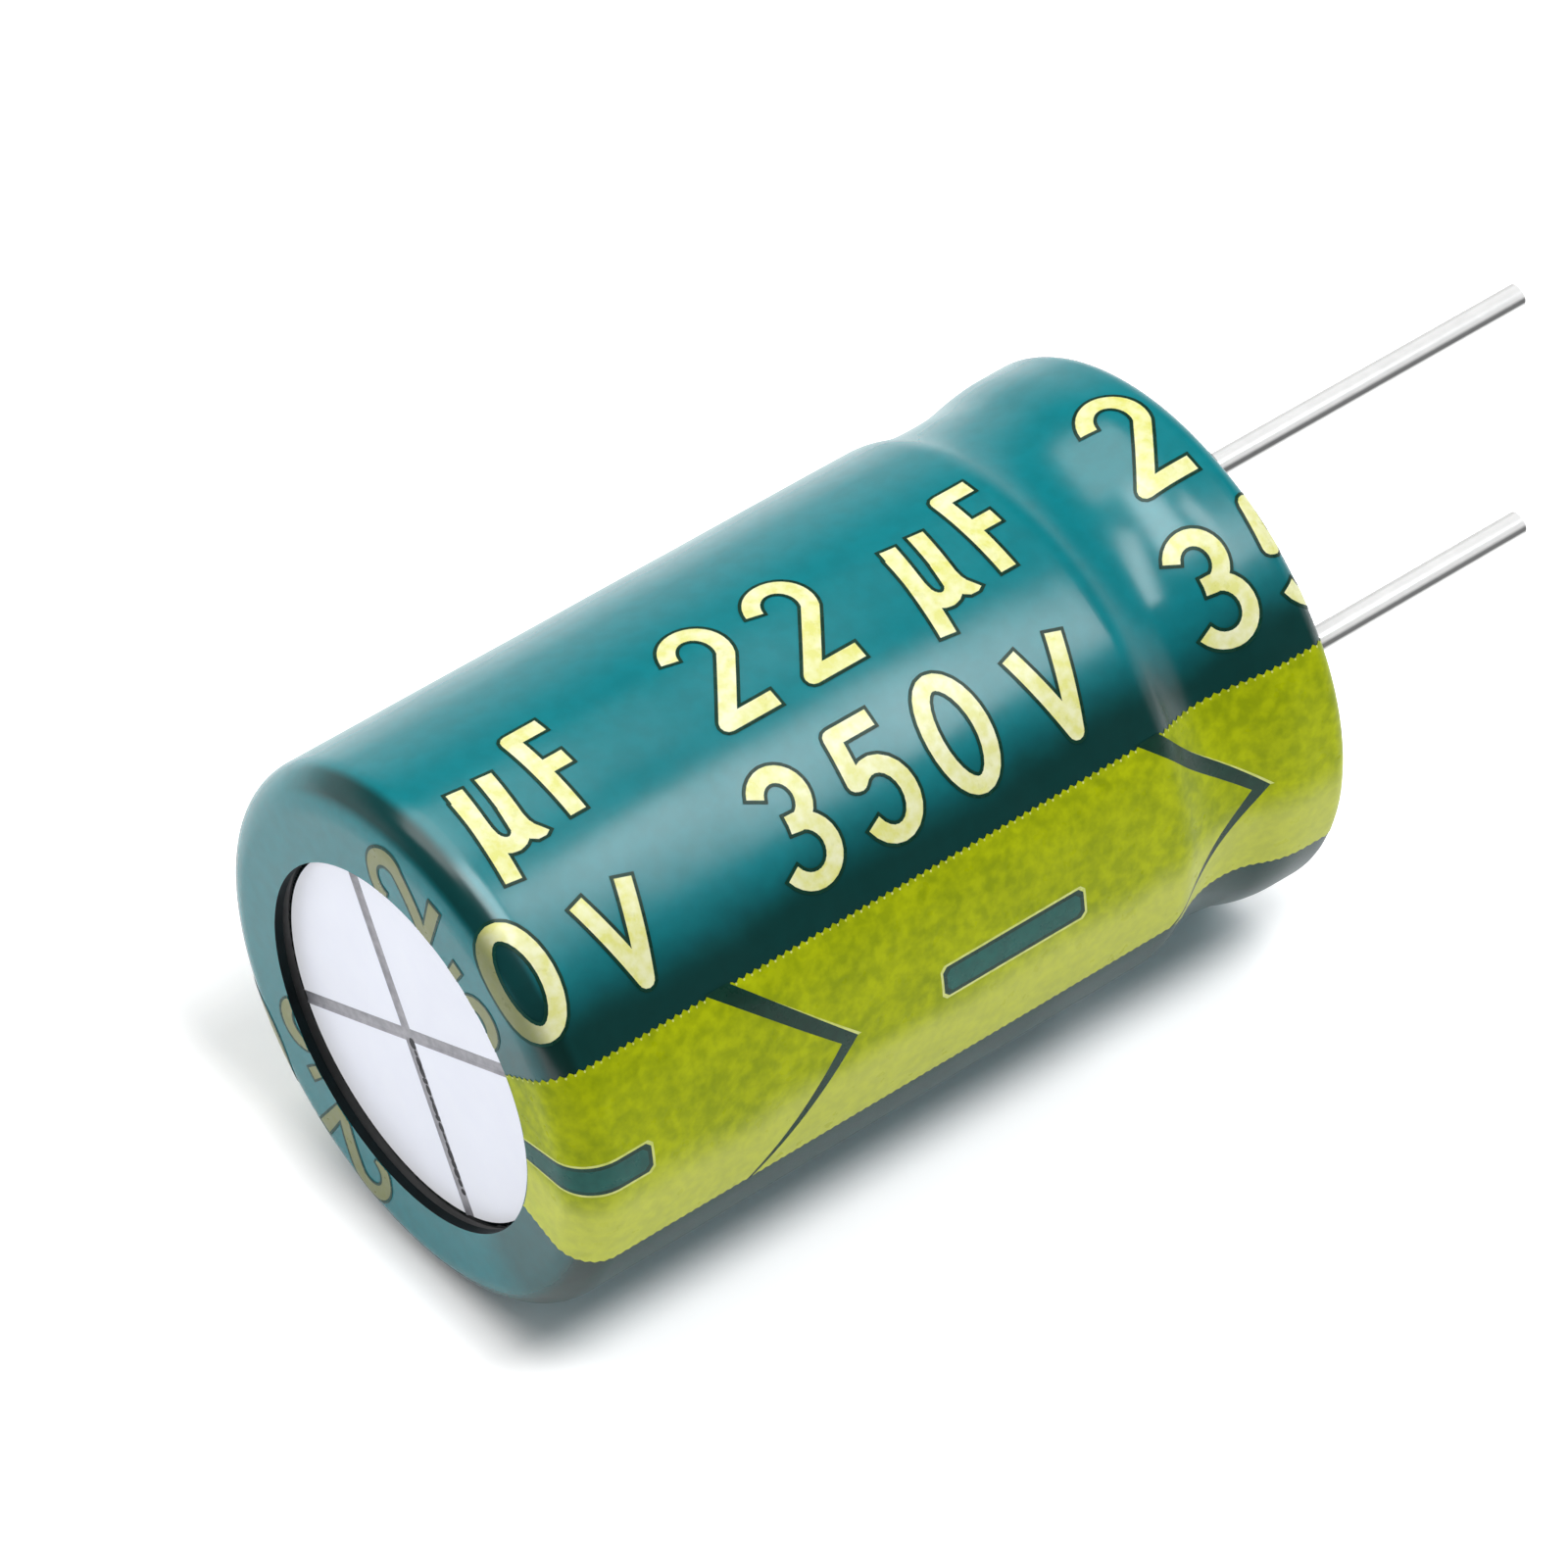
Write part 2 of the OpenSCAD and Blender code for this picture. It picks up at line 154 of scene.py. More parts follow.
class CapPrintSizes(bpy.types.PropertyGroup):
    """Sizes and places of the printing"""
    lift: FloatProperty(
        name="Ink thickness", description="Height of the ink above the film", default=0.012 * MM,
        precision=6, unit="LENGTH")
    grid: FloatProperty(
        name="Mesh grid", description="Spacing of the mesh points in the ink", default=0.1 * MM,
        unit="LENGTH")
    stripe_turn: FloatProperty(
        name="Stripe azimuth", description="Azimuth of the stripe's middle", default=math.radians(-20),
        subtype="ANGLE")
    stripe_angle: FloatProperty(
        name="Stripe width", description="Angle that the stripe covers", default=math.radians(49),
        subtype="ANGLE")
    stripe_pitch: FloatProperty(
        name="Stripe repeat", description="Distance from one chevron to the next", default=11.8 * MM,
        unit="LENGTH")
    teeth: IntProperty(
        name="Teeth", description="Teeth along the stripe's edge in one repeat", default=56, min=8)
    tooth: FloatProperty(
        name="Tooth height", description="Height of a tooth", default=0.09 * MM, unit="LENGTH")
    chevron_tip: FloatProperty(
        name="Chevron tip", description="Height of the lower chevron's tip", default=7.34 * MM,
        unit="LENGTH")
    chevron_rise: FloatProperty(
        name="Chevron rise", description="How far the chevron's ends lie behind its tip", default=2.75 * MM,
        unit="LENGTH")
    chevron_wide: FloatProperty(
        name="Wide limb", description="Width of the limb's end nearer the text", default=0.62 * MM,
        unit="LENGTH")
    chevron_mid: FloatProperty(
        name="Limb at tip", description="Width of the chevron at its tip", default=0.44 * MM, unit="LENGTH")
    chevron_thin: FloatProperty(
        name="Thin limb", description="Width of the limb's far end", default=0.13 * MM, unit="LENGTH")
    minus_z: FloatProperty(
        name="Minus height", description="Height of the minus bar's middle", default=11.65 * MM,
        unit="LENGTH")
    minus_l: FloatProperty(
        name="Minus length", description="Length of a minus bar", default=3.9 * MM, unit="LENGTH")
    minus_w: FloatProperty(
        name="Minus width", description="Width of a minus bar", default=0.78 * MM, unit="LENGTH")
    text_pitch: FloatProperty(
        name="Text repeat", description="Distance from one value to the next", default=11.68 * MM,
        unit="LENGTH")
    stroke: FloatProperty(
        name="Stroke", description="Width of the text's strokes", default=0.4 * MM, unit="LENGTH")
    edge: FloatProperty(
        name="Dark edge", description="Width of the dark edge round the text", default=0.08 * MM,
        unit="LENGTH")
    upper_text: StringProperty(
        name="Capacitance", description="Plain value in the upper row", default="22uF")
    upper_turn: FloatProperty(
        name="Upper baseline", description="Azimuth of the upper row's baseline",
        default=math.radians(-84.9), subtype="ANGLE")
    upper_height: FloatProperty(
        name="Upper height", description="Height of the upper row's digits", default=3.1 * MM,
        unit="LENGTH")
    lower_text: StringProperty(name="Voltage", description="Plain value in the lower row", default="350V")
    lower_turn: FloatProperty(
        name="Lower baseline", description="Azimuth of the lower row's baseline",
        default=math.radians(-50.9), subtype="ANGLE")
    lower_height: FloatProperty(
        name="Lower height", description="Height of the lower row's digits", default=2.96 * MM,
        unit="LENGTH")
    far_turn: FloatProperty(
        name="Far text", description="Turn from the near text to its copy on the far side",
        default=math.radians(196), subtype="ANGLE")


class CapColours(bpy.types.PropertyGroup):
    """Colours of the visible finishes"""
    film: FloatVectorProperty(
        name="Film", description="Teal of the film", default=(0.002, 0.235, 0.275), subtype="COLOR")
    film_deep: FloatVectorProperty(
        name="Film shade", description="Deeper teal in the film's mottling", default=(0.002, 0.19, 0.222),
        subtype="COLOR")
    gold: FloatVectorProperty(
        name="Stripe", description="Lime gold of the stripe", default=(0.52, 0.6, 0.003), subtype="COLOR")
    gold_deep: FloatVectorProperty(
        name="Stripe shade", description="Darker specks in the stripe", default=(0.3, 0.38, 0.002),
        subtype="COLOR")
    dark: FloatVectorProperty(
        name="Dark print", description="Dark green round the text and in the chevrons",
        default=(0.006, 0.055, 0.035), subtype="COLOR")
    bar: FloatVectorProperty(
        name="Minus bar", description="Teal green of the minus bars", default=(0.008, 0.13, 0.11),
        subtype="COLOR")
    text: FloatVectorProperty(
        name="Text", description="Cream of the text", default=(0.97, 0.98, 0.66), subtype="COLOR")
    halo: FloatVectorProperty(
        name="Halo", description="Pale edge in the stripe", default=(0.8, 0.85, 0.3), subtype="COLOR")
    metal: FloatVectorProperty(
        name="Can", description="Bright aluminium of the can", default=(0.9, 0.9, 0.93), subtype="COLOR")
    wire: FloatVectorProperty(
        name="Wires", description="Tin on the wires", default=(0.97, 0.97, 0.97), subtype="COLOR")
    rubber: FloatVectorProperty(
        name="Seal", description="Rubber of the seal", default=(0.03, 0.03, 0.035), subtype="COLOR")
    paper: FloatVectorProperty(
        name="Paper", description="Paper of the winding", default=(0.62, 0.5, 0.3), subtype="COLOR")


class CapStudio(bpy.types.PropertyGroup):
    """Camera, lights and floor"""
    camera_place: FloatVectorProperty(
        name="Camera", description="Place of the camera",
        default=(77.7939 * MM, -163.3628 * MM, -77.9041 * MM), subtype="XYZ", unit="LENGTH")
    lens: FloatProperty(name="Lens", description="Focal length in mm on a 36 mm sensor", default=212.2258)
    key: FloatProperty(name="Key light", description="Radiance of the key light", default=3.3)
    strip: FloatProperty(name="Strip light", description="Radiance of the strip light", default=7.5)
    ambient: FloatProperty(name="Ambient", description="Radiance of the room", default=0.55)
    floor_size: FloatProperty(
        name="Floor", description="Half width of the floor", default=0.6, unit="LENGTH")


# Meshes

def new_object(name, data):
    """A new object in the scene, at the origin"""
    thing = bpy.data.objects.new(name, data)
    bpy.context.scene.collection.objects.link(thing)
    return thing


@contextmanager
def opened(mesh):
    """A mesh to be edited, which is then written back"""
    bm = bmesh.new()
    bm.from_mesh(mesh)
    yield bm
    bm.to_mesh(mesh)
    bm.free()


def delete_loose(bm):
    """Deletes the points that no face uses"""
    bmesh.ops.delete(bm, geom=[point for point in bm.verts if not point.link_faces], context="VERTS")


def mesh_object(name, points, faces, smooth=True):
    """A new mesh object at the origin"""
    mesh = bpy.data.meshes.new(name)
    mesh.from_pydata([tuple(p) for p in points], [], faces)
    mesh.validate()
    mesh.polygons.foreach_set("use_smooth", [smooth] * len(mesh.polygons))
    mesh.update()
    return new_object(name, mesh)


def arc(centre_r, centre_z, radius, start, end, steps):
    """Points on an arc, from one angle to the other in degrees"""
    points = []
    for i in range(steps + 1):
        a = math.radians(start + (end - start) * i / steps)
        points.append((centre_r + radius * math.cos(a), centre_z + radius * math.sin(a)))
    return points


def line(a, b, steps):
    """Points after a on the way to b"""
    return [(a[0] + (b[0] - a[0]) * i / steps, a[1] + (b[1] - a[1]) * i / steps)
            for i in range(1, steps + 1)]


def waist_side(f, height, round_r):
    """Radius against distance from the waist's middle, on one side of it"""
    centre = f.radius - round_r
    hollow = ((f.waist_r - centre) ** 2 + height ** 2 - round_r ** 2) / (2 * (round_r - f.waist_r + centre))
    meet = height * hollow / (hollow + round_r)

    def radius_at(d):
        if d < meet:
            return f.waist_r + hollow - math.sqrt(max(hollow ** 2 - d ** 2, 0))
        return centre + math.sqrt(max(round_r ** 2 - (height - d) ** 2, 0))
    return radius_at


def film_path(f):
    """The film's outer line as radius and height, from the opening at the base to the one at the head"""
    path = [(f.base_hole, 0.0)]
    path += line(path[-1], (f.radius - f.base_corner, 0.0), 6)
    path += arc(f.radius - f.base_corner, f.base_corner, f.base_corner, -90, 0, 20)[1:]
    path += line(path[-1], (f.radius, f.waist_z - f.flank_below), 62)
    below = waist_side(f, f.flank_below, f.round_below)
    above = waist_side(f, f.flank_above, f.round_above)
    path += [(below(d), f.waist_z - d) for d in (f.flank_below * (1 - i / 14) for i in range(1, 15))]
    path += [(above(d), f.waist_z + d) for d in (f.flank_above * i / 20 for i in range(1, 21))]
    path += line(path[-1], (f.radius, f.length - f.head_corner), 4)
    path += arc(f.radius - f.head_corner, f.length - f.head_corner, f.head_corner, 0, 90, 8)[1:]
    path += line(path[-1], (f.head_hole, f.length), 5)
    return path


def inward_line(path, wall):
    """The path moved inwards by the film's wall"""
    moved = []
    for i, (r, z) in enumerate(path):
        a = path[max(i - 1, 0)]
        b = path[min(i + 1, len(path) - 1)]
        dr, dz = b[0] - a[0], b[1] - a[1]
        size = math.hypot(dr, dz)
        moved.append((r - wall * dz / size, z + wall * dr / size))
    return moved


def dent_at(f, angle, r, z):
    """How far the film sinks inwards at one place"""
    c, s = math.cos(angle), math.sin(angle)
    above, fade, bridge = 0.35 * MM, 1.15 * MM, 2.5 * MM
    near = math.exp(-((z - f.waist_z - above) / fade) ** 2)
    lobes = noise.noise(Vector((c * 2.1 + 7.3, s * 2.1 - 1.7, z * 260)))
    fine = noise.noise(Vector((c * 5.2 - 3.1, s * 5.2 + 4.4, z * 520)))
    sag = f.dent * near * min(max(0.4 + lobes + 0.12 * fine, 0.0), 1.0)
    wave = noise.noise(Vector((c * 3 * r / f.radius, s * 3 * r / f.radius, z * 300 + 11)))
    loose = max(0.0, math.cos(angle - f.span_turn)) ** 2 * max(0.0, 1 - ((z - f.waist_z) / bridge) ** 2)
    return sag * (1 - loose) - f.span * loose * (f.radius - r) + f.ripple * (0.5 + 0.5 * wave)


class CAP_OT_film(bpy.types.Operator):
    """Make the shrunk film with its folded ends and its waist"""
    bl_idname = "capacitor.film"
    bl_label = "Shrink Film"

    def execute(self, context):
        f = context.scene.cap_film
        outer = film_path(f)
        loop = outer + inward_line(outer, f.wall)[::-1]
        count = len(loop)
        points, faces = [], []
        for step in range(f.around):
            angle = 2 * math.pi * step / f.around
            here = step * count
            there = (step + 1) % f.around * count
            for i, (r, z) in enumerate(loop):
                flat_ring = f.base_hole < r < f.radius - f.base_corner and z < f.base_corner
                if not flat_ring:
                    r -= dent_at(f, angle, r, z)
                points.append((r * math.cos(angle), r * math.sin(angle), z))
                j = (i + 1) % count
                faces.append((here + i, there + i, there + j, here + j))
        film = mesh_object("shrink_film", points, faces)
        with opened(film.data) as bm:
            bmesh.ops.recalc_face_normals(bm, faces=bm.faces)
            for edge in bm.edges:
                if edge.calc_face_angle(0) > math.radians(50):
                    edge.smooth = False
        film.data.materials.append(film_material())
        # The film's cut edges take the near-black painted shade
        film.data.materials.append(painted_shade_edge_material())
        rims = (len(outer) - 1, count - 1)
        for polygon in film.data.polygons:
            polygon.material_index = int(polygon.index % count in rims)
        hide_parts("sleeve")
        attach(film, "root")
        return {"FINISHED"}


# Flat artwork for the printing, in metres: x runs along the film's line and y runs round it

def bent(points):
    """Splits a stroke's points where the stroke turns sharply"""
    runs = [[points[0]]]
    for i in range(1, len(points) - 1):
        runs[-1].append(points[i])
        a = Vector(points[i]) - Vector(points[i - 1])
        b = Vector(points[i + 1]) - Vector(points[i])
        if a.angle(b, 0.0) > math.radians(38):
            runs.append([points[i]])
    runs[-1].append(points[-1])
    return runs


def finer(points, step):
    """More points on a stroke, none further apart than step"""
    out = [points[0]]
    for a, b in zip(points, points[1:]):
        out += line(a, b, max(1, math.ceil(math.dist(a, b) / step)))
    return out


def band(points, half, closed=False):
    """A stroke as a row of four-sided pieces that share their edges"""
    points = [Vector(p) for p in points]
    count = len(points)
    sides = []
    for i, p in enumerate(points):
        if closed:
            a, b = points[i - 1], points[(i + 1) % count]
        else:
            a, b = points[max(i - 1, 0)], points[min(i + 1, count - 1)]
        along = (b - a).normalized()
        across = Vector((-along.y, along.x))
        sides.append((p + across * half, p - across * half))
    pieces = []
    for i in range(count if closed else count - 1):
        a, b = sides[i], sides[(i + 1) % count]
        pieces.append([tuple(a[0]), tuple(a[1]), tuple(b[1]), tuple(b[0])])
    return pieces


def disc(centre, radius, steps=12):
    """A round dot, which fills a stroke's corner"""
    return [(centre[0] + radius * math.cos(2 * math.pi * i / steps),
             centre[1] + radius * math.sin(2 * math.pi * i / steps)) for i in range(steps)]


def oval(cx, cy, rx, ry, start, end, steps=18):
    """Points on an upright oval, angles in degrees"""
    return [(cx + rx * math.cos(math.radians(start + (end - start) * i / steps)),
             cy + ry * math.sin(math.radians(start + (end - start) * i / steps))) for i in range(steps + 1)]


def glyph(sign):
    """A sign's strokes in a cell one wide and one high, and its width and height against a digit's"""
    if sign == "2":
        return [oval(0.5, 0.72, 0.42, 0.26, 168, -28) + [(0.06, 0.02), (0.96, 0.02)]], 1.0, 1.0
    if sign == "3":
        return [oval(0.47, 0.745, 0.37, 0.235, 155, -78) + [(0.38, 0.53)],
                [(0.38, 0.53)] + oval(0.47, 0.27, 0.43, 0.26, 82, -155)], 1.0, 1.0
    if sign == "5":
        bowl = oval(0.48, 0.32, 0.42, 0.31, 132, -155)
        return [[(0.92, 0.98), (0.2, 0.98), (0.14, 0.56)] + bowl], 1.0, 1.0
    if sign == "0":
        return [oval(0.5, 0.5, 0.42, 0.48, 0, 360, 28)[:-1]], 1.0, 1.0
    if sign == "u":
        return [[(0.3, 1.0), (0.08, -0.34)],
                [(0.26, 0.86), (0.2, 0.36)] + oval(0.44, 0.28, 0.24, 0.24, 175, 330, 8) + [(0.72, 0.5)],
                [(0.8, 1.0), (0.7, 0.32)] + oval(0.84, 0.24, 0.14, 0.2, 175, 300, 6)], 1.05, 0.74
    if sign == "F":
        return [[(0.1, 0.0), (0.1, 0.97), (0.95, 0.97)], [(0.1, 0.53), (0.82, 0.53)]], 0.74, 0.92
    if sign == "V":
        return [[(0.02, 1.0), (0.48, 0.02), (0.98, 1.0)]], 0.92, 0.86
    raise ValueError("No strokes for the sign " + sign)


def text_strokes(text, starts, height, width, stroke, edge, step):
    """A row's pieces: the text's own, and the wider ones for its dark edge"""
    own, dark = [], []
    inset = stroke / 2
    for sign, start in zip(text, starts):
        strokes, wide, high = glyph(sign)
        for points in strokes:
            placed = [(start + inset + u * (width * wide - stroke), -(inset + v * (height * high - stroke)))
                      for u, v in points]
            for target, more in ((own, 0.0), (dark, edge)):
                half = inset + more
                if sign == "0":
                    target += band(finer(placed + placed[:1], step)[:-1], half, True)
                    continue
                runs = bent(placed)
                for number, run in enumerate(runs):
                    run = finer(run, step)
                    ends = [Vector(p) for p in run]
                    if number == 0:
                        ends[0] += (ends[0] - ends[1]).normalized() * more
                    if number == len(runs) - 1:
                        ends[-1] += (ends[-1] - ends[-2]).normalized() * more
                    target += band(ends, half)
                    if number:
                        target.append(disc(run[0], half))
    return own, dark


def inside(spot, piece):
    """Whether a flat place lies in a flat piece"""
    x, y = spot
    odd = False
    for (ax, ay), (bx, by) in zip(piece, piece[1:] + piece[:1]):
        if (ay > y) != (by > y) and x < ax + (y - ay) * (bx - ax) / (by - ay):
            odd = not odd
    return odd


def partition(layers, grid):
    """Flat triangles for each layer: where layers overlap, the later one shows"""
    points, edges, cells = [], [], {}
    cell = 0.6 * MM
    for number, pieces in enumerate(layers):
        for piece in pieces:
            outline = finer(list(piece) + [piece[0]], grid)[:-1]
            first = len(points)
            edges += [(first + i, first + (i + 1) % len(outline)) for i in range(len(outline))]
            points += outline
            along, across = (range(math.floor(min(q[k] for q in piece) / cell),
                                   math.floor(max(q[k] for q in piece) / cell) + 1) for k in (0, 1))
            for i in along:
                for j in across:
                    cells.setdefault((i, j), []).append((number, piece))
    low = [min(p[k] for p in points) for k in (0, 1)]
    high = [max(p[k] for p in points) for k in (0, 1)]
    columns = max(1, round((high[0] - low[0]) / grid))
    rows = max(1, round((high[1] - low[1]) / grid))
    for i in range(columns + 1):
        for j in range(rows + 1):
            points.append((low[0] + (high[0] - low[0]) * i / columns,
                           low[1] + (high[1] - low[1]) * j / rows))
    scaled = [Vector((p[0] / MM, p[1] / MM)) for p in points]
    spots, _, triangles, _, _, _ = delaunay_2d_cdt(scaled, edges, [], 0, 1e-4)
    spots = [p * MM for p in spots]
    sets = [[] for _ in layers]
    for triangle in triangles:
        middle = (sum(spots[i].x for i in triangle) / 3, sum(spots[i].y for i in triangle) / 3)
        here = cells.get((math.floor(middle[0] / cell), math.floor(middle[1] / cell)), ())
        found = [number for number, piece in here if inside(middle, piece)]
        if found:
            sets[max(found)].append(triangle)
    return spots, sets


def stripe_layers(p):
    """One repeat of the stripe: its field, pale edges, dark print and minus bar"""
    half = BODY_R * p.stripe_angle / 2
    pitch = p.stripe_pitch
    start = p.chevron_tip - p.chevron_rise - 1.4 * MM
    steps = p.teeth * 2
    upper = [(start + pitch * i / steps, -half + (p.tooth if i % 2 else 0.0)) for i in range(steps + 1)]
    lower = [(start + pitch * i / steps, half - (p.tooth * 0.6 if i % 2 else 0.0))
             for i in range(steps, -1, -1)]
    field = [upper + lower]
    tip, rise = p.chevron_tip, p.chevron_rise
    wide, mid, thin = p.chevron_wide, p.chevron_mid, p.chevron_thin
    over = half + 0.02 * MM
    pale = 0.07 * MM
    limb = [(tip - rise, -over), (tip, 0.0), (tip - mid, 0.0), (tip - rise - wide, -over)]
    tail = [(tip, 0.0), (tip - rise, over), (tip - rise - thin, over), (tip - mid, 0.0)]
    edge = -half + 0.09 * MM
    halo = [(tip - rise + pale, edge), (tip + pale * 1.4, 0.0), (tip, 0.0), (tip - rise, edge)]
    dots = []
    for i in range(0, steps, 2):
        x = start + pitch * (i + 1) / steps
        dots.append([(x + dx * MM, -half + dy * MM)
                     for dx, dy in ((-0.03, 0.1), (0.0, 0.14), (0.03, 0.1), (0.0, 0.06))])

    def bar(grow):
        a, b = p.minus_z - p.minus_l / 2 - grow, p.minus_z + p.minus_l / 2 + grow
        w = p.minus_w / 2 + grow
        corner = 0.12 * MM
        return [(a + corner, -w), (b - corner, -w), (b, -w + corner), (b, w - corner), (b - corner, w),
                (a + corner, w), (a, w - corner), (a, -w + corner)]
    return [field, [halo, bar(0.06 * MM), *dots], [limb, tail], [bar(0.0)], [bar(-0.1 * MM)]]


# Node trees

def new_group(name, kind, inputs, output):
    """A node group with its inputs, each a name, a kind and perhaps a default, and its one output"""
    group = bpy.data.node_groups.new(name, kind)
    for label, socket, *default in inputs:
        item = group.interface.new_socket(name=label, in_out="INPUT", socket_type=socket)
        if default:
            item.default_value = default[0]
    group.interface.new_socket(name=output[0], in_out="OUTPUT", socket_type=output[1])
    return group


def add(tree, kind, sockets=None, **values):
    """A node with its properties set and its inputs fed, placed to the right of what feeds it"""
    node = tree.nodes.new(kind)
    for key, value in values.items():
        setattr(node, key, value)
    column = 0.0
    for key, value in (sockets or {}).items():
        socket = node.inputs[key]
        if isinstance(value, bpy.types.Node):
            value = value.outputs[0]
        if isinstance(value, bpy.types.NodeSocket):
            tree.links.new(value, socket)
            column = max(column, value.node.location.x + 200.0)
        elif socket.type == "RGBA":
            socket.default_value = (*value[:3], 1.0)
        else:
            socket.default_value = value
    node.location = column, -180.0 * sum(other.location.x == column for other in tree.nodes)
    return node


def maths(tree, operation, *values):
    """A sum or the like of two or three values"""
    return add(tree, "ShaderNodeMath", dict(enumerate(values)), operation=operation)


def product(tree, first, *others):
    """The product of two or more values"""
    for other in others:
        first = maths(tree, "MULTIPLY", first, other)
    return first


def reach_along(tree, vector, direction):
    """How far a vector reaches in a direction"""
    node = add(tree, "ShaderNodeVectorMath", {0: vector, 1: direction}, operation="DOT_PRODUCT")
    return node.outputs["Value"]


def ramp(tree, value, start, full, low=0.0, high=1.0, kind="SMOOTHSTEP"):
    """Goes from low to high while a value goes from start to full"""
    return add(tree, "ShaderNodeMapRange", {
        "Value": value, "From Min": start, "From Max": full, "To Min": low, "To Max": high},
        interpolation_type=kind)


def mix(tree, kind, factor, first, second):
    """A mix of two colours (RGBA) or two numbers (FLOAT)"""
    return add(tree, "ShaderNodeMix", {"Factor": factor, "A": first, "B": second},
               data_type=kind).outputs["Result"]


def own_place(tree):
    """Object coordinates"""
    return add(tree, "ShaderNodeTexCoord").outputs["Object"]


def own_xyz(tree):
    """Object coordinates, as three numbers"""
    return add(tree, "ShaderNodeSeparateXYZ", {0: own_place(tree)}).outputs


def point_row(tree, count, start, step):
    """A row of points, its start and step given by their coordinates"""
    return add(tree, "GeometryNodeMeshLine", {
        "Count": count, "Start Location": add(tree, "ShaderNodeCombineXYZ", start),
        "Offset": add(tree, "ShaderNodeCombineXYZ", step)})


def wrap_tree():
    """Repeats flat artwork along the film's line and lays it on the film"""
    if "Wrap Print" in bpy.data.node_groups:
        return bpy.data.node_groups["Wrap Print"]
    tree = new_group("Wrap Print", "GeometryNodeTree", (
        ("Geometry", "NodeSocketGeometry"), ("Line", "NodeSocketObject"), ("Film", "NodeSocketObject"),
        ("Repeats", "NodeSocketInt", 3), ("First", "NodeSocketFloat", 0.0),
        ("Pitch", "NodeSocketFloat", 0.0118), ("Line Length", "NodeSocketFloat", 0.03),
        ("Radius", "NodeSocketFloat", 0.0065), ("Azimuth", "NodeSocketFloat", 0.0),
        ("Lift", "NodeSocketFloat", 0.01 * MM), ("Ink", "NodeSocketMaterial")),
        ("Geometry", "NodeSocketGeometry"))
    given = add(tree, "NodeGroupInput").outputs
    row = point_row(tree, given["Repeats"], {"X": given["First"]}, {"X": given["Pitch"]})
    copies = add(tree, "GeometryNodeInstanceOnPoints", {"Points": row, "Instance": given["Geometry"]})
    flat = add(tree, "GeometryNodeRealizeInstances", {"Geometry": copies})
    spot = add(tree, "ShaderNodeSeparateXYZ", {0: add(tree, "GeometryNodeInputPosition")}).outputs
    beyond = maths(tree, "ADD", maths(tree, "LESS_THAN", spot["X"], 0.0),
                   maths(tree, "GREATER_THAN", spot["X"], given["Line Length"]))
    kept = add(tree, "GeometryNodeDeleteGeometry", {"Geometry": flat, "Selection": beyond}, domain="FACE")
    along = maths(tree, "MINIMUM", maths(tree, "MAXIMUM", spot["X"], 0.0), given["Line Length"])
    path = add(tree, "GeometryNodeObjectInfo", {"Object": given["Line"]}).outputs["Geometry"]
    sample = add(tree, "GeometryNodeSampleCurve", {"Curves": path, "Length": along}, mode="LENGTH")
    angle = maths(tree, "ADD", maths(tree, "DIVIDE", spot["Y"], given["Radius"]), given["Azimuth"])
    turned = add(tree, "ShaderNodeVectorRotate", {"Vector": sample.outputs["Position"], "Angle": angle},
                 rotation_type="Z_AXIS")
    wrapped = add(tree, "GeometryNodeSetPosition", {"Geometry": kept, "Position": turned})
    film = add(tree, "GeometryNodeObjectInfo", {"Object": given["Film"]}).outputs["Geometry"]
    nearest, outwards = (
        add(tree, "GeometryNodeSampleNearestSurface", {"Mesh": film, "Value": add(tree, kind)},
            data_type="FLOAT_VECTOR") for kind in ("GeometryNodeInputPosition", "GeometryNodeInputNormal"))
    rise = add(tree, "ShaderNodeVectorMath", {0: outwards, "Scale": given["Lift"]}, operation="SCALE")
    laid = add(tree, "GeometryNodeSetPosition", {"Geometry": wrapped, "Position": nearest, "Offset": rise})
    joined = add(tree, "GeometryNodeMergeByDistance", {"Geometry": laid, "Distance": 0.002 * MM})
    real = add(tree, "GeometryNodeRealizeInstances", {"Geometry": joined})
    ink = add(tree, "GeometryNodeSetMaterial", {"Geometry": real, "Material": given["Ink"]})
    add(tree, "NodeGroupOutput", {"Geometry": ink})
    return tree


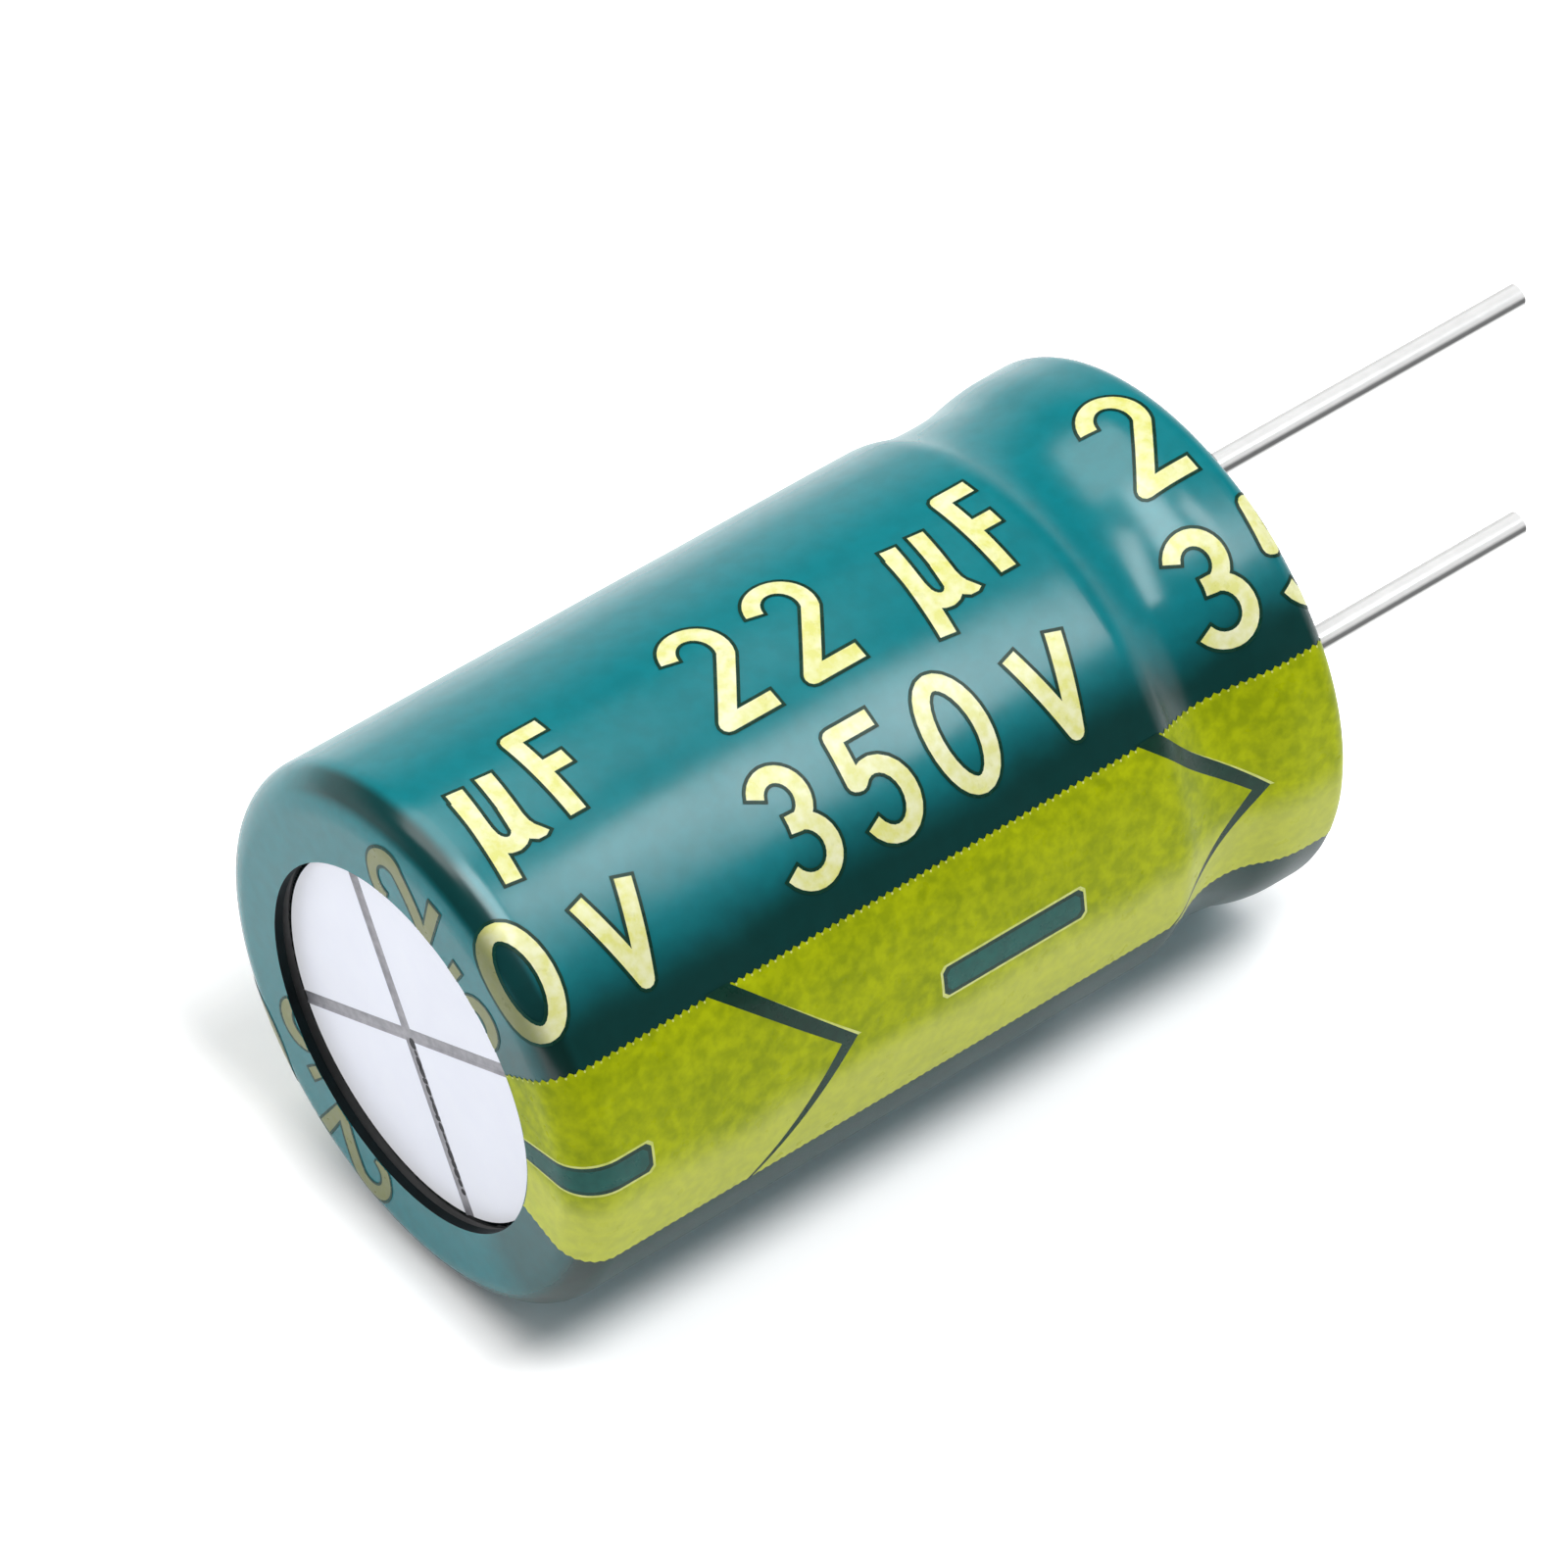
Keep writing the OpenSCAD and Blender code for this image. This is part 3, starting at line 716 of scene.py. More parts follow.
def marks_tree():
    """A row of small flat marks along one arm of the score, which stand for pressed dents"""
    tree = new_group("Score Marks", "GeometryNodeTree", (
        ("Geometry", "NodeSocketGeometry"), ("Count", "NodeSocketInt", 14),
        ("Start", "NodeSocketFloat", 0.0), ("Spacing", "NodeSocketFloat", 0.0003),
        ("Azimuth", "NodeSocketFloat", 0.0), ("Height", "NodeSocketFloat", 0.0),
        ("Seed", "NodeSocketInt", 4), ("Metal", "NodeSocketMaterial")), ("Geometry", "NodeSocketGeometry"))
    given = add(tree, "NodeGroupInput").outputs
    row = point_row(tree, given["Count"], {"X": given["Start"], "Z": given["Height"]},
                    {"X": given["Spacing"]})
    size = add(tree, "FunctionNodeRandomValue", {
        "Min": (0.6, 0.5, 1.0), "Max": (1.5, 1.3, 1.0), "Seed": given["Seed"]}, data_type="FLOAT_VECTOR")
    copies = add(tree, "GeometryNodeInstanceOnPoints", {
        "Points": row, "Instance": given["Geometry"], "Scale": size.outputs["Value"]})
    real = add(tree, "GeometryNodeRealizeInstances", {"Geometry": copies})
    turned = add(tree, "ShaderNodeVectorRotate", {
        "Vector": add(tree, "GeometryNodeInputPosition"), "Angle": given["Azimuth"]},
        rotation_type="Z_AXIS")
    placed = add(tree, "GeometryNodeSetPosition", {"Geometry": real, "Position": turned})
    facing = add(tree, "GeometryNodeFlipFaces", {0: placed})
    metal = add(tree, "GeometryNodeSetMaterial", {"Geometry": facing, "Material": given["Metal"]})
    add(tree, "NodeGroupOutput", {"Geometry": metal})
    return tree


def laid_out(flat, tree, values):
    """The plain mesh that a node tree makes of a flat piece, which is then deleted"""
    modifier = flat.modifiers.new("Layout", "NODES")
    modifier.node_group = tree
    names = {item.name: item.identifier for item in tree.interface.items_tree if item.in_out == "INPUT"}
    for key, value in values.items():
        modifier[names[key]] = value
    bpy.context.view_layer.update()
    depsgraph = bpy.context.evaluated_depsgraph_get()
    mesh = bpy.data.meshes.new_from_object(flat.evaluated_get(depsgraph), depsgraph=depsgraph)
    if not mesh.polygons:
        raise RuntimeError("The piece made of " + flat.name + " came out empty")
    old = flat.data
    bpy.data.objects.remove(flat)
    bpy.data.meshes.remove(old)
    return mesh


# Printing and vent

def wrap(name, spots, triangles, material, values):
    """A flat layer, repeated and laid on the film as a plain mesh"""
    flat = mesh_object(name + "_flat", [(s.x, s.y, 0.0) for s in spots], [tuple(t) for t in triangles])
    with opened(flat.data) as bm:
        delete_loose(bm)
    return laid_out(flat, wrap_tree(), dict(values, Ink=material))


def outward(mesh):
    """Turns faces that point at the axis or into the body"""
    film = bpy.data.objects["shrink_film"]
    with opened(mesh) as bm:
        turned = []
        for face in bm.faces:
            _, _, normal, _ = film.closest_point_on_mesh(face.calc_center_median())
            if face.normal.dot(normal) < 0:
                turned.append(face)
            face.smooth = True
        bmesh.ops.reverse_faces(bm, faces=turned)


def inked(name, meshes, material, replaced=None):
    """One ink's piece from its laid layers"""
    bm = bmesh.new()
    for mesh in meshes:
        bm.from_mesh(mesh)
        bpy.data.meshes.remove(mesh)
    whole = bpy.data.meshes.new(name)
    bm.to_mesh(whole)
    bm.free()
    outward(whole)
    whole.materials.clear()
    whole.materials.append(material)
    piece = new_object(name, whole)
    if replaced:
        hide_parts(replaced)
    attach(piece, "root")


def film_line(f):
    """The film's outer line as a curve for the printing to follow, and its length"""
    path = film_path(f)
    data = bpy.data.curves.new("film_line", "CURVE")
    data.dimensions = "3D"
    spline = data.splines.new("POLY")
    spline.points.add(len(path) - 1)
    for point, (r, z) in zip(spline.points, path):
        point.co = (r, 0.0, z, 1.0)
    return new_object("film_line", data), sum(math.dist(a, b) for a, b in zip(path, path[1:]))


def layout_values(f, path, length, repeats, first, pitch, azimuth, lift):
    """The layout's inputs for artwork that is drawn at heights on the body's straight side"""
    corner = f.base_corner
    height_to_line = f.radius - corner - f.base_hole + corner * math.pi / 2 - corner
    return {"Line": path, "Film": bpy.data.objects["shrink_film"], "Repeats": repeats,
            "First": height_to_line + first, "Pitch": pitch, "Line Length": length, "Radius": f.radius,
            "Azimuth": azimuth, "Lift": lift}


class CAP_OT_vent(bpy.types.Operator):
    """Make the scored vent panel that shows in the film's opening"""
    bl_idname = "capacitor.vent"
    bl_label = "Vent Panel"

    def execute(self, context):
        v = context.scene.cap_vent
        half = v.score / 2

        def arm(width, turn):
            reach = v.radius * 1.2
            corners = [(-reach, -width), (reach, -width), (reach, width), (-reach, width)]
            c, s = math.cos(turn), math.sin(turn)
            return [(x * c - y * s + v.offset[0], x * s + y * c + v.offset[1]) for x, y in corners]

        def level(x, y):
            near = min(abs(x - v.offset[0]), abs(y - v.offset[1]))
            out = math.hypot(x, y) / v.radius
            dome = v.crown * (0.25 + 0.75 * math.sin(math.pi * min(out, 1.0)) * min(near / (1.2 * MM), 1.0))
            groove = max(0.0, min(1.0, (half - near) / (half * 0.4)))
            rim = 0.2 * MM * max(0.0, (out - 0.972) / 0.028)
            return v.height - dome + v.depth * groove + rim

        cut, floor = ([arm(half * part, 0.0), arm(half * part, math.pi / 2)] for part in (1.0, 0.6))
        rims = [[disc((0.0, 0.0), v.radius * part, 160)] for part in (1.0, 0.955)]
        spots, sets = partition([*rims, cut, floor], 0.1 * MM)
        c, s = math.cos(v.turn), math.sin(v.turn)
        points = [(x * c - y * s, x * s + y * c, level(x, y)) for x, y in spots]
        # The panel's outer ring takes the near-black painted shade of the gap round the panel
        kept = [(tuple(reversed(t)), kind) for group, kind in zip(sets, (2, 0, 1, 1)) for t in group
                if sum(math.hypot(*spots[i]) for i in t) / 3 < v.radius * 1.0005]
        panel = mesh_object("vent_panel", points, [t for t, _ in kept], False)
        for polygon, (_, kind) in zip(panel.data.polygons, kept):
            polygon.material_index = kind
        for material in (panel_material(), score_material(), painted_shade_edge_material()):
            panel.data.materials.append(material)
        with opened(panel.data) as bm:
            delete_loose(bm)
            for face in bm.faces:
                face.smooth = True
            for edge in bm.edges:
                edge.smooth = edge.calc_face_angle(0.0) < math.radians(12)
        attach(panel, "root")
        self.press_marks(v)
        return {"FINISHED"}

    def press_marks(self, v):
        """Small flat marks along one arm of the score, painted near black as the shade of pressed dents"""
        corners = [math.pi * 2 * k / 10 for k in range(10)]
        dent = mesh_object("mark_flat", [(0.12 * MM * math.cos(a), 0.095 * MM * math.sin(a), 0.0)
                                         for a in corners], [tuple(range(len(corners)))])
        proud = 0.004 * MM
        mesh = laid_out(dent, marks_tree(), {
            "Count": v.marks, "Start": 0.25 * MM, "Spacing": (v.radius - 0.7 * MM) / v.marks,
            "Azimuth": v.turn, "Height": v.height - v.crown * 0.25 + v.depth - proud, "Seed": 4,
            "Metal": mark_material()})
        crossing = Matrix.Rotation(v.turn, 4, "Z") @ Vector((*v.offset, 0.0))
        mesh.transform(Matrix.Translation(crossing))
        marks = new_object("score_marks", mesh)
        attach(marks, "root")


class CAP_OT_stripe(bpy.types.Operator):
    """Print the polarity stripe with its chevrons and minus bars"""
    bl_idname = "capacitor.stripe"
    bl_label = "Polarity Stripe"

    def execute(self, context):
        f, p = context.scene.cap_film, context.scene.cap_print
        spots, sets = partition(stripe_layers(p), p.grid)
        path, length = film_line(f)
        values = layout_values(f, path, length, 3, -p.stripe_pitch, p.stripe_pitch, p.stripe_turn, p.lift)
        inks = (("stripe_field", gold_material(), "polarity_stripe"),
                ("stripe_halo", halo_material(), None), ("stripe_dark", dark_material(), None),
                ("minus_edge", dark_material(), None), ("minus_bar", bar_material(), None))
        for (name, material, replaced), triangles in zip(inks, sets):
            mesh = wrap(name, spots, triangles, material, values)
            inked(name, [mesh], material, replaced)
        bpy.data.objects.remove(path)
        return {"FINISHED"}


class CAP_OT_values(bpy.types.Operator):
    """Print the plain capacitance and voltage values on both sides"""
    bl_idname = "capacitor.values"
    bl_label = "Printed Values"

    def execute(self, context):
        f, p = context.scene.cap_film, context.scene.cap_print
        path, length = film_line(f)
        rows = (
            (p.upper_text, [v * MM for v in (7.36, 9.66, 12.8, 15.0)], p.upper_height, p.upper_turn),
            (p.lower_text, [v * MM for v in (6.7, 8.9, 11.1, 13.75)], p.lower_height, p.lower_turn))
        sign_width = 1.84 * MM
        text, dark = [], []
        for words, starts, height, turn in rows:
            own, edge = text_strokes(words, starts, height, sign_width, p.stroke, p.edge, p.grid)
            spots, sets = partition([edge, own], p.grid)
            for side in (0.0, p.far_turn):
                values = layout_values(f, path, length, 4, -2 * p.text_pitch, p.text_pitch, turn + side,
                                       p.lift)
                dark.append(wrap("value_edge", spots, sets[0], dark_material(), values))
                text.append(wrap("value_text", spots, sets[1], text_material(), values))
        inked("value_edges", dark, dark_material())
        inked("value_text", text, text_material())
        bpy.data.objects.remove(path)
        return {"FINISHED"}


# Materials

def grain_group():
    """Fine uneven grain, as a value between zero and one"""
    if "Surface Grain" in bpy.data.node_groups:
        return bpy.data.node_groups["Surface Grain"]
    group = new_group("Surface Grain", "ShaderNodeTree", (
        ("Scale", "NodeSocketFloat", 400.0), ("Detail", "NodeSocketFloat", 3.0),
        ("Low", "NodeSocketFloat", 0.35), ("High", "NodeSocketFloat", 0.65),
        ("Stretch", "NodeSocketVector", (1.0, 1.0, 1.0))), ("Value", "NodeSocketFloat"))
    given = add(group, "NodeGroupInput").outputs
    where = add(group, "ShaderNodeVectorMath", {0: own_place(group), 1: given["Stretch"]},
                operation="MULTIPLY")
    cloud = add(group, "ShaderNodeTexNoise", {
        "Vector": where, "Scale": given["Scale"], "Detail": given["Detail"]}).outputs["Fac"]
    add(group, "NodeGroupOutput", {"Value": ramp(group, cloud, given["Low"], given["High"], kind="LINEAR")})
    return group


def grain(tree, **inputs):
    """The grain in a tree, with its own values"""
    return add(tree, "ShaderNodeGroup", inputs, node_tree=grain_group())


def mottle_group():
    """Two colours mixed by a fine grain and a broad cloud"""
    if "Colour Mottle" in bpy.data.node_groups:
        return bpy.data.node_groups["Colour Mottle"]
    group = new_group("Colour Mottle", "ShaderNodeTree", (
        ("Main", "NodeSocketColor", (0.5, 0.5, 0.5, 1)), ("Other", "NodeSocketColor", (0.3, 0.3, 0.3, 1)),
        ("Fine Scale", "NodeSocketFloat", 4000.0), ("Broad Scale", "NodeSocketFloat", 300.0),
        ("Fine Amount", "NodeSocketFloat", 0.5), ("Broad Amount", "NodeSocketFloat", 0.3)),
        ("Color", "NodeSocketColor"))
    given = add(group, "NodeGroupInput").outputs
    fine = product(group, grain(group, Scale=given["Fine Scale"]), given["Fine Amount"])
    broad = product(group, grain(group, Scale=given["Broad Scale"]), given["Broad Amount"])
    both = add(group, "ShaderNodeMath", {0: fine, 1: broad}, operation="ADD", use_clamp=True)
    add(group, "NodeGroupOutput", {"Color": mix(group, "RGBA", both, given["Main"], given["Other"])})
    return group


def fade_group():
    """Mixes a colour towards another on the folded ring at the base"""
    if "Ring Fade" in bpy.data.node_groups:
        return bpy.data.node_groups["Ring Fade"]
    group = new_group("Ring Fade", "ShaderNodeTree", (
        ("Color", "NodeSocketColor", (0.5, 0.5, 0.5, 1)), ("Faded", "NodeSocketColor", (0.1, 0.1, 0.1, 1)),
        ("Amount", "NodeSocketFloat", 0.8)), ("Color", "NodeSocketColor"))
    given = add(group, "NodeGroupInput").outputs
    amount = product(group, between_heights(group, 0.55 * MM, 0.08 * MM), given["Amount"])
    add(group, "NodeGroupOutput", {"Color": mix(group, "RGBA", amount, given["Color"], given["Faded"])})
    return group


def band_group():
    """How far a place lies from one azimuth to another, with an uneven border"""
    if "Azimuth Band" in bpy.data.node_groups:
        return bpy.data.node_groups["Azimuth Band"]
    group = new_group("Azimuth Band", "ShaderNodeTree", (
        ("Start", "NodeSocketFloat", -1.0), ("Full", "NodeSocketFloat", 0.0),
        ("Wobble", "NodeSocketFloat", 0.06)), ("Value", "NodeSocketFloat"))
    given = add(group, "NodeGroupInput").outputs
    place = own_xyz(group)
    azimuth = maths(group, "ARCTAN2", place["Y"], place["X"])
    shifted = maths(group, "MULTIPLY_ADD", grain(group, Scale=330.0), given["Wobble"], azimuth)
    add(group, "NodeGroupOutput", {"Value": ramp(group, shifted, given["Start"], given["Full"])})
    return group


def band_between(tree, start, full):
    """How far a place lies from one azimuth to another"""
    return add(tree, "ShaderNodeGroup", {"Start": start, "Full": full}, node_tree=band_group())


def between_heights(tree, start, full):
    """How far a place lies from one height to another"""
    return ramp(tree, own_xyz(tree)["Z"], start, full)


def blank_tree(owner):
    """The emptied node tree of a material or a world"""
    owner.use_nodes = True
    owner.node_tree.nodes.clear()
    return owner.node_tree


def finish_material(name, main, other, roughness, metallic=0.0, fine=4000.0, broad=300.0, fine_amount=0.5,
                    broad_amount=0.3, bump=0.05, bump_scale=1500.0, stretch=(1.0, 1.0, 1.0),
                    rough_spread=0.06, specular=0.5, reach=0.02 * MM, glow=0.0):
    """A mottled finish with uneven roughness and a fine bump, and a white painted glow where glow is given
    """
    if name in bpy.data.materials:
        return bpy.data.materials[name]
    material = bpy.data.materials.new(name)
    tree = blank_tree(material)
    colour = add(tree, "ShaderNodeGroup", {
        "Main": main, "Other": other, "Fine Scale": fine, "Broad Scale": broad, "Fine Amount": fine_amount,
        "Broad Amount": broad_amount}, node_tree=mottle_group())
    uneven = grain(tree, Scale=bump_scale, Low=0.15, High=0.85, Stretch=stretch)
    rough = ramp(tree, uneven, 0.0, 1.0, max(roughness - rough_spread, 0.02), roughness + rough_spread,
                 "LINEAR")
    relief = add(tree, "ShaderNodeBump", {"Strength": bump, "Distance": reach, "Height": uneven})
    surface = add(tree, "ShaderNodeBsdfPrincipled", {
        "Base Color": colour, "Roughness": rough, "Metallic": metallic, "Specular IOR Level": specular,
        "Emission Color": (1.0, 1.0, 1.0), "Emission Strength": glow, "Normal": relief})
    add(tree, "ShaderNodeOutputMaterial", {"Surface": surface})
    return material


def base_colour(material):
    """A material's tree, its surface's inputs and what feeds its base colour"""
    tree = material.node_tree
    surface = next(node for node in tree.nodes if node.type == "BSDF_PRINCIPLED").inputs
    return tree, surface, surface["Base Color"].links[0].from_socket


def faded(material, colour, amount):
    """Fades a material's colour on the ring at the base"""
    tree, surface, own = base_colour(material)
    if "Ring Fade" not in tree.nodes:
        fade = add(tree, "ShaderNodeGroup", {"Color": own, "Faded": colour, "Amount": amount},
                   node_tree=fade_group(), name="Ring Fade")
        tree.links.new(fade.outputs[0], surface["Base Color"])
    return material


def shade(colour, factor):
    """A colour made darker or lighter"""
    return tuple(min(c * factor, 1.0) for c in colour)


def film_material():
    """Teal film, darker beside the stripe, partly as a darker print edge and partly as painted shade, with
    painted shade under the stripe and a painted dark reflection on the upper part of the base's corner
    """
    p, c = bpy.context.scene.cap_print, bpy.context.scene.cap_colours
    if "Teal Film" in bpy.data.materials:
        return bpy.data.materials["Teal Film"]
    material = finish_material("Teal Film", c.film, c.film_deep, 0.22, fine=2500, broad=260, bump=0.22,
                               bump_scale=420, rough_spread=0.05, reach=0.04 * MM)
    tree, surface, teal = base_colour(material)
    top, low = p.stripe_turn - p.stripe_angle / 2, p.stripe_turn + p.stripe_angle / 2
    # Painted shade: the teal darkens next to the stripe, where it is partly a darker print edge, and under
    # it, where it stands for shade
    beside = product(tree, band_between(tree, top - 0.33, top - 0.04),
                     band_between(tree, low + 0.75, low + 0.38), 0.86,
                     between_heights(tree, -1.3 * MM, 0.9 * MM))
    shaded = mix(tree, "RGBA", beside, teal, (0.003, 0.02, 0.01))
    # Painted dark reflection along the upper part of the base's corner
    corner = product(tree, between_heights(tree, 0.78 * MM, 0.52 * MM),
                     between_heights(tree, 0.04 * MM, 0.22 * MM),
                     band_between(tree, math.radians(-150), math.radians(-120)), 0.85)
    tree.links.new(mix(tree, "RGBA", corner, shaded, (0.002, 0.025, 0.02)), surface["Base Color"])
    return material


# Painted shade: a near-black teal for the film's cut edges and the vent panel's outer ring, standing for
# the dark gaps there
def painted_shade_edge_material():
    c = bpy.context.scene.cap_colours
    return finish_material("Edge Painted Shade", shade(c.film, 0.03), shade(c.film_deep, 0.01), 0.6,
                           specular=0.1)


def gold_material():
    """Lime-gold ink with a paler painted reflection of the floor along its middle"""
    c = bpy.context.scene.cap_colours
    if "Gold Ink" in bpy.data.materials:
        return bpy.data.materials["Gold Ink"]
    material = finish_material("Gold Ink", c.gold, c.gold_deep, 0.3, fine=3400, broad=900, fine_amount=0.7,
                               broad_amount=0.35, bump=0.35, bump_scale=2300, specular=0.09)
    tree, surface, own = base_colour(material)
    # Painted reflection: the gold is mixed towards a paler yellow over part of the stripe
    painted_sheen = product(tree, band_between(tree, -0.3, -0.1), 0.52)
    tree.links.new(mix(tree, "RGBA", painted_sheen, own, (0.86, 0.9, 0.22)), surface["Base Color"])
    return material


def halo_material():
    c = bpy.context.scene.cap_colours
    return finish_material("Pale Ink", c.halo, c.gold, 0.3, fine=3300, bump_scale=2600)


def dark_material():
    c = bpy.context.scene.cap_colours
    green = finish_material("Dark Ink", c.dark, shade(c.dark, 0.5), 0.28, fine=3000, bump_scale=2000,
                            specular=0.2)
    return faded(green, (0.012, 0.09, 0.08), 0.5)


def bar_material():
    c = bpy.context.scene.cap_colours
    return finish_material("Minus Ink", c.bar, shade(c.bar, 0.6), 0.28, fine=3000, bump_scale=2000,
                           specular=0.2)


def text_material():
    c = bpy.context.scene.cap_colours
    cream = finish_material("Cream Ink", c.text, (0.78, 0.78, 0.14), 0.3, fine=3600, fine_amount=0.6,
                            bump=0.3, bump_scale=2600)
    return faded(cream, (0.16, 0.19, 0.07), 0.88)


# Painted light: the vent panel glows white at 0.45 over a darker bluish grey base, so that it stays pale
# where shade would fall
def panel_material():
    return finish_material("Glowing Vent Aluminium", (0.4, 0.435, 0.55), (0.37, 0.4, 0.51), 0.4, 0.3, fine=2200,
                           broad=400, fine_amount=0.3, bump=0.1, bump_scale=900, rough_spread=0.08,
                           glow=0.45)


def score_material():
    return finish_material("Score Mark", (0.5, 0.5, 0.54), (0.34, 0.34, 0.38), 0.5, 0.2, fine=4200,
                           broad=1500, fine_amount=0.7, bump=0.3, bump_scale=3500)


def mark_material():
    # Painted shade: the press marks are near black, as the shade in pressed dents
    return finish_material("Dent Painted Shade", (0.05, 0.05, 0.06), (0.02, 0.02, 0.025), 0.6, fine=6000)


def wire_material(c):
    """Bright tin that glows a little as painted light, with a dark band and a grey rim painted on as the
    reflections that a white room leaves on it
    """
    if "Tinned Wire" in bpy.data.materials:
        return bpy.data.materials["Tinned Wire"]
    # Painted light: the wires glow at 0.36
    material = finish_material("Tinned Wire", c.wire, shade(c.wire, 0.92), 0.2, 0.5, fine=3000, broad=600,
                               bump=0.2, bump_scale=900, stretch=(1.0, 1.0, 0.12), glow=0.36)
    tree, surface, tin = base_colour(material)
    facing = add(tree, "ShaderNodeNewGeometry").outputs["Normal"]
    across = reach_along(tree, facing, (math.cos(WIRE_SIDE), math.sin(WIRE_SIDE), 0.0))
    # Painted reflections: a dark band on one side of each wire and a grey rim on the other, set by azimuth
    painted_streak = product(tree, ramp(tree, across, -0.96, -0.7), ramp(tree, across, -0.26, -0.54), 0.93)
    tin_with_painted_streak = mix(tree, "RGBA", painted_streak, tin, (0.02, 0.02, 0.02))
    rim = product(tree, ramp(tree, across, 0.66, 0.96), 0.7)
    colour = mix(tree, "RGBA", rim, tin_with_painted_streak, (0.16, 0.16, 0.16))
    tree.links.new(colour, surface["Base Color"])
    # The glow takes the painted colour, so the painted reflections stay dark
    tree.links.new(colour, surface["Emission Color"])
    return material


class CAP_OT_metal(bpy.types.Operator):
    """Give the can, tabs and wires their metal finishes; the can's is painted near black as shade"""
    bl_idname = "capacitor.metal"
    bl_label = "Can, Tabs and Wires"

    def execute(self, context):
        c = context.scene.cap_colours
        tab = finish_material("Tab Aluminium", shade(c.metal, 0.85), shade(c.metal, 0.7), 0.4, 1.0,
                              fine=2600, bump=0.3, bump_scale=1500)
        # Painted shade: the can is painted near black, at 0.12 and 0.06 of the metal's colour, so that the
        # gap round the vent reads dark
        can = finish_material("Can Aluminium Painted Dark", shade(c.metal, 0.12), shade(c.metal, 0.06), 0.5, 0.3,
                              fine=2600, broad=500, fine_amount=0.3, bump=0.2, bump_scale=900)
        coat_nodes({"can": can, "anode_lead": wire_material(c), "cathode_lead": wire_material(c),
                    "anode_tab": tab, "cathode_tab": tab})
        return {"FINISHED"}


class CAP_OT_inside(bpy.types.Operator):
    """Give the seal and the wound element their finishes"""
    bl_idname = "capacitor.inside"
    bl_label = "Seal and Winding"

    def execute(self, context):
        c = context.scene.cap_colours
        paper = finish_material("Separator Paper", c.paper, shade(c.paper, 0.75), 0.8, fine=2500, broad=900,
                                bump=0.5, bump_scale=3500, stretch=(1.0, 1.0, 0.5))
        coat_nodes({
            "end_seal": finish_material("Seal Rubber", c.rubber, shade(c.rubber, 1.7), 0.6, fine=3500,
                                        broad=500, bump=0.5, bump_scale=2200),
            "anode_foil": finish_material("Etched Foil", (0.55, 0.56, 0.58), (0.4, 0.41, 0.43), 0.55, 1.0,
                                          fine=5000, bump=0.5, bump_scale=5000),
            "cathode_foil": finish_material("Plain Foil", (0.72, 0.73, 0.75), (0.6, 0.61, 0.63), 0.35, 1.0),
            "inner_separator": paper, "outer_separator": paper,
            "winding_tape": finish_material("Closing Tape", (0.55, 0.4, 0.16), (0.45, 0.3, 0.1), 0.45,
                                            fine=1800, bump=0.3, bump_scale=1500)})
        return {"FINISHED"}


def coat_nodes(finishes):
    """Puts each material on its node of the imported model"""
    for node, material in finishes.items():
        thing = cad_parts[node]
        if not thing.material_slots:
            thing.data.materials.append(material)
        for slot in thing.material_slots:
            slot.material = material


# Stage

def lamp(name, toward, distance, width, height, radiance, colour, tilt=0.0):
    """An area lamp that faces the object's middle, its height along the object's axis before the tilt"""
    toward = Vector(toward).normalized()
    data = bpy.data.lights.new(name, "AREA")
    data.shape = "RECTANGLE"
    data.size = width
    data.size_y = height
    data.color = colour
    data.energy = radiance * math.pi * width * height
    thing = new_object(name, data)
    side = AXIS.cross(toward).normalized()
    tall = toward.cross(side).normalized()
    turn = Matrix((side, tall, toward)).transposed().to_4x4() @ Matrix.Rotation(tilt, 4, "Z")
    thing.matrix_world = Matrix.Translation(LAMP_AIM + toward * distance) @ turn
    return thing


def floor_shadow(tree):
    """How much white the floor adds at each place away from the shadow, to the camera and to mirrors: a
    painted shadow, as the added white falls off near the object
    """
    where = own_place(tree)
    side = reach_along(tree, where, FLOOR_UP.cross(AXIS))
    along = add(tree, "ShaderNodeSeparateXYZ", {0: where}).outputs["Z"]

    def farthest(kind, *ramps):
        """The most of the ramps, each given in millimetres from where it starts to where it is full"""
        total = None
        for place, start, full, low, high in ramps:
            part = ramp(tree, place, start * MM, full * MM, low, high, kind)
            total = part if total is None else maths(tree, "MAXIMUM", total, part)
        return total

    # Painted reflection of the shadow: to mirrors the floor glows less near the object
    mirrored = farthest("SMOOTHSTEP", (side, -8.0, -13.0, 0.03, 0.7), (side, 6.0, 10.0, 0.03, 0.26),
                        (along, 0.5, -3.5, 0.03, 0.28), (along, 21.5, 26.0, 0.03, 0.3))
    # Painted shadow: to the camera the floor's added white falls off near the object
    beside = farthest("LINEAR", (side, -3.5, -5.3, 0.0, 1.0), (side, 7.5, 13.0, 0.0, 1.0))
    beyond = farthest("LINEAR", (along, 0.8, -1.5, 0.0, 1.0), (along, 20.5, 23.5, 0.0, 1.0))
    corner = add(tree, "ShaderNodeCombineXYZ", {"X": beside, "Y": beyond})
    outside = add(tree, "ShaderNodeVectorMath", {0: corner}, operation="LENGTH").outputs["Value"]
    return ramp(tree, outside, 0.0, 1.0, 0.0, 0.66), mirrored


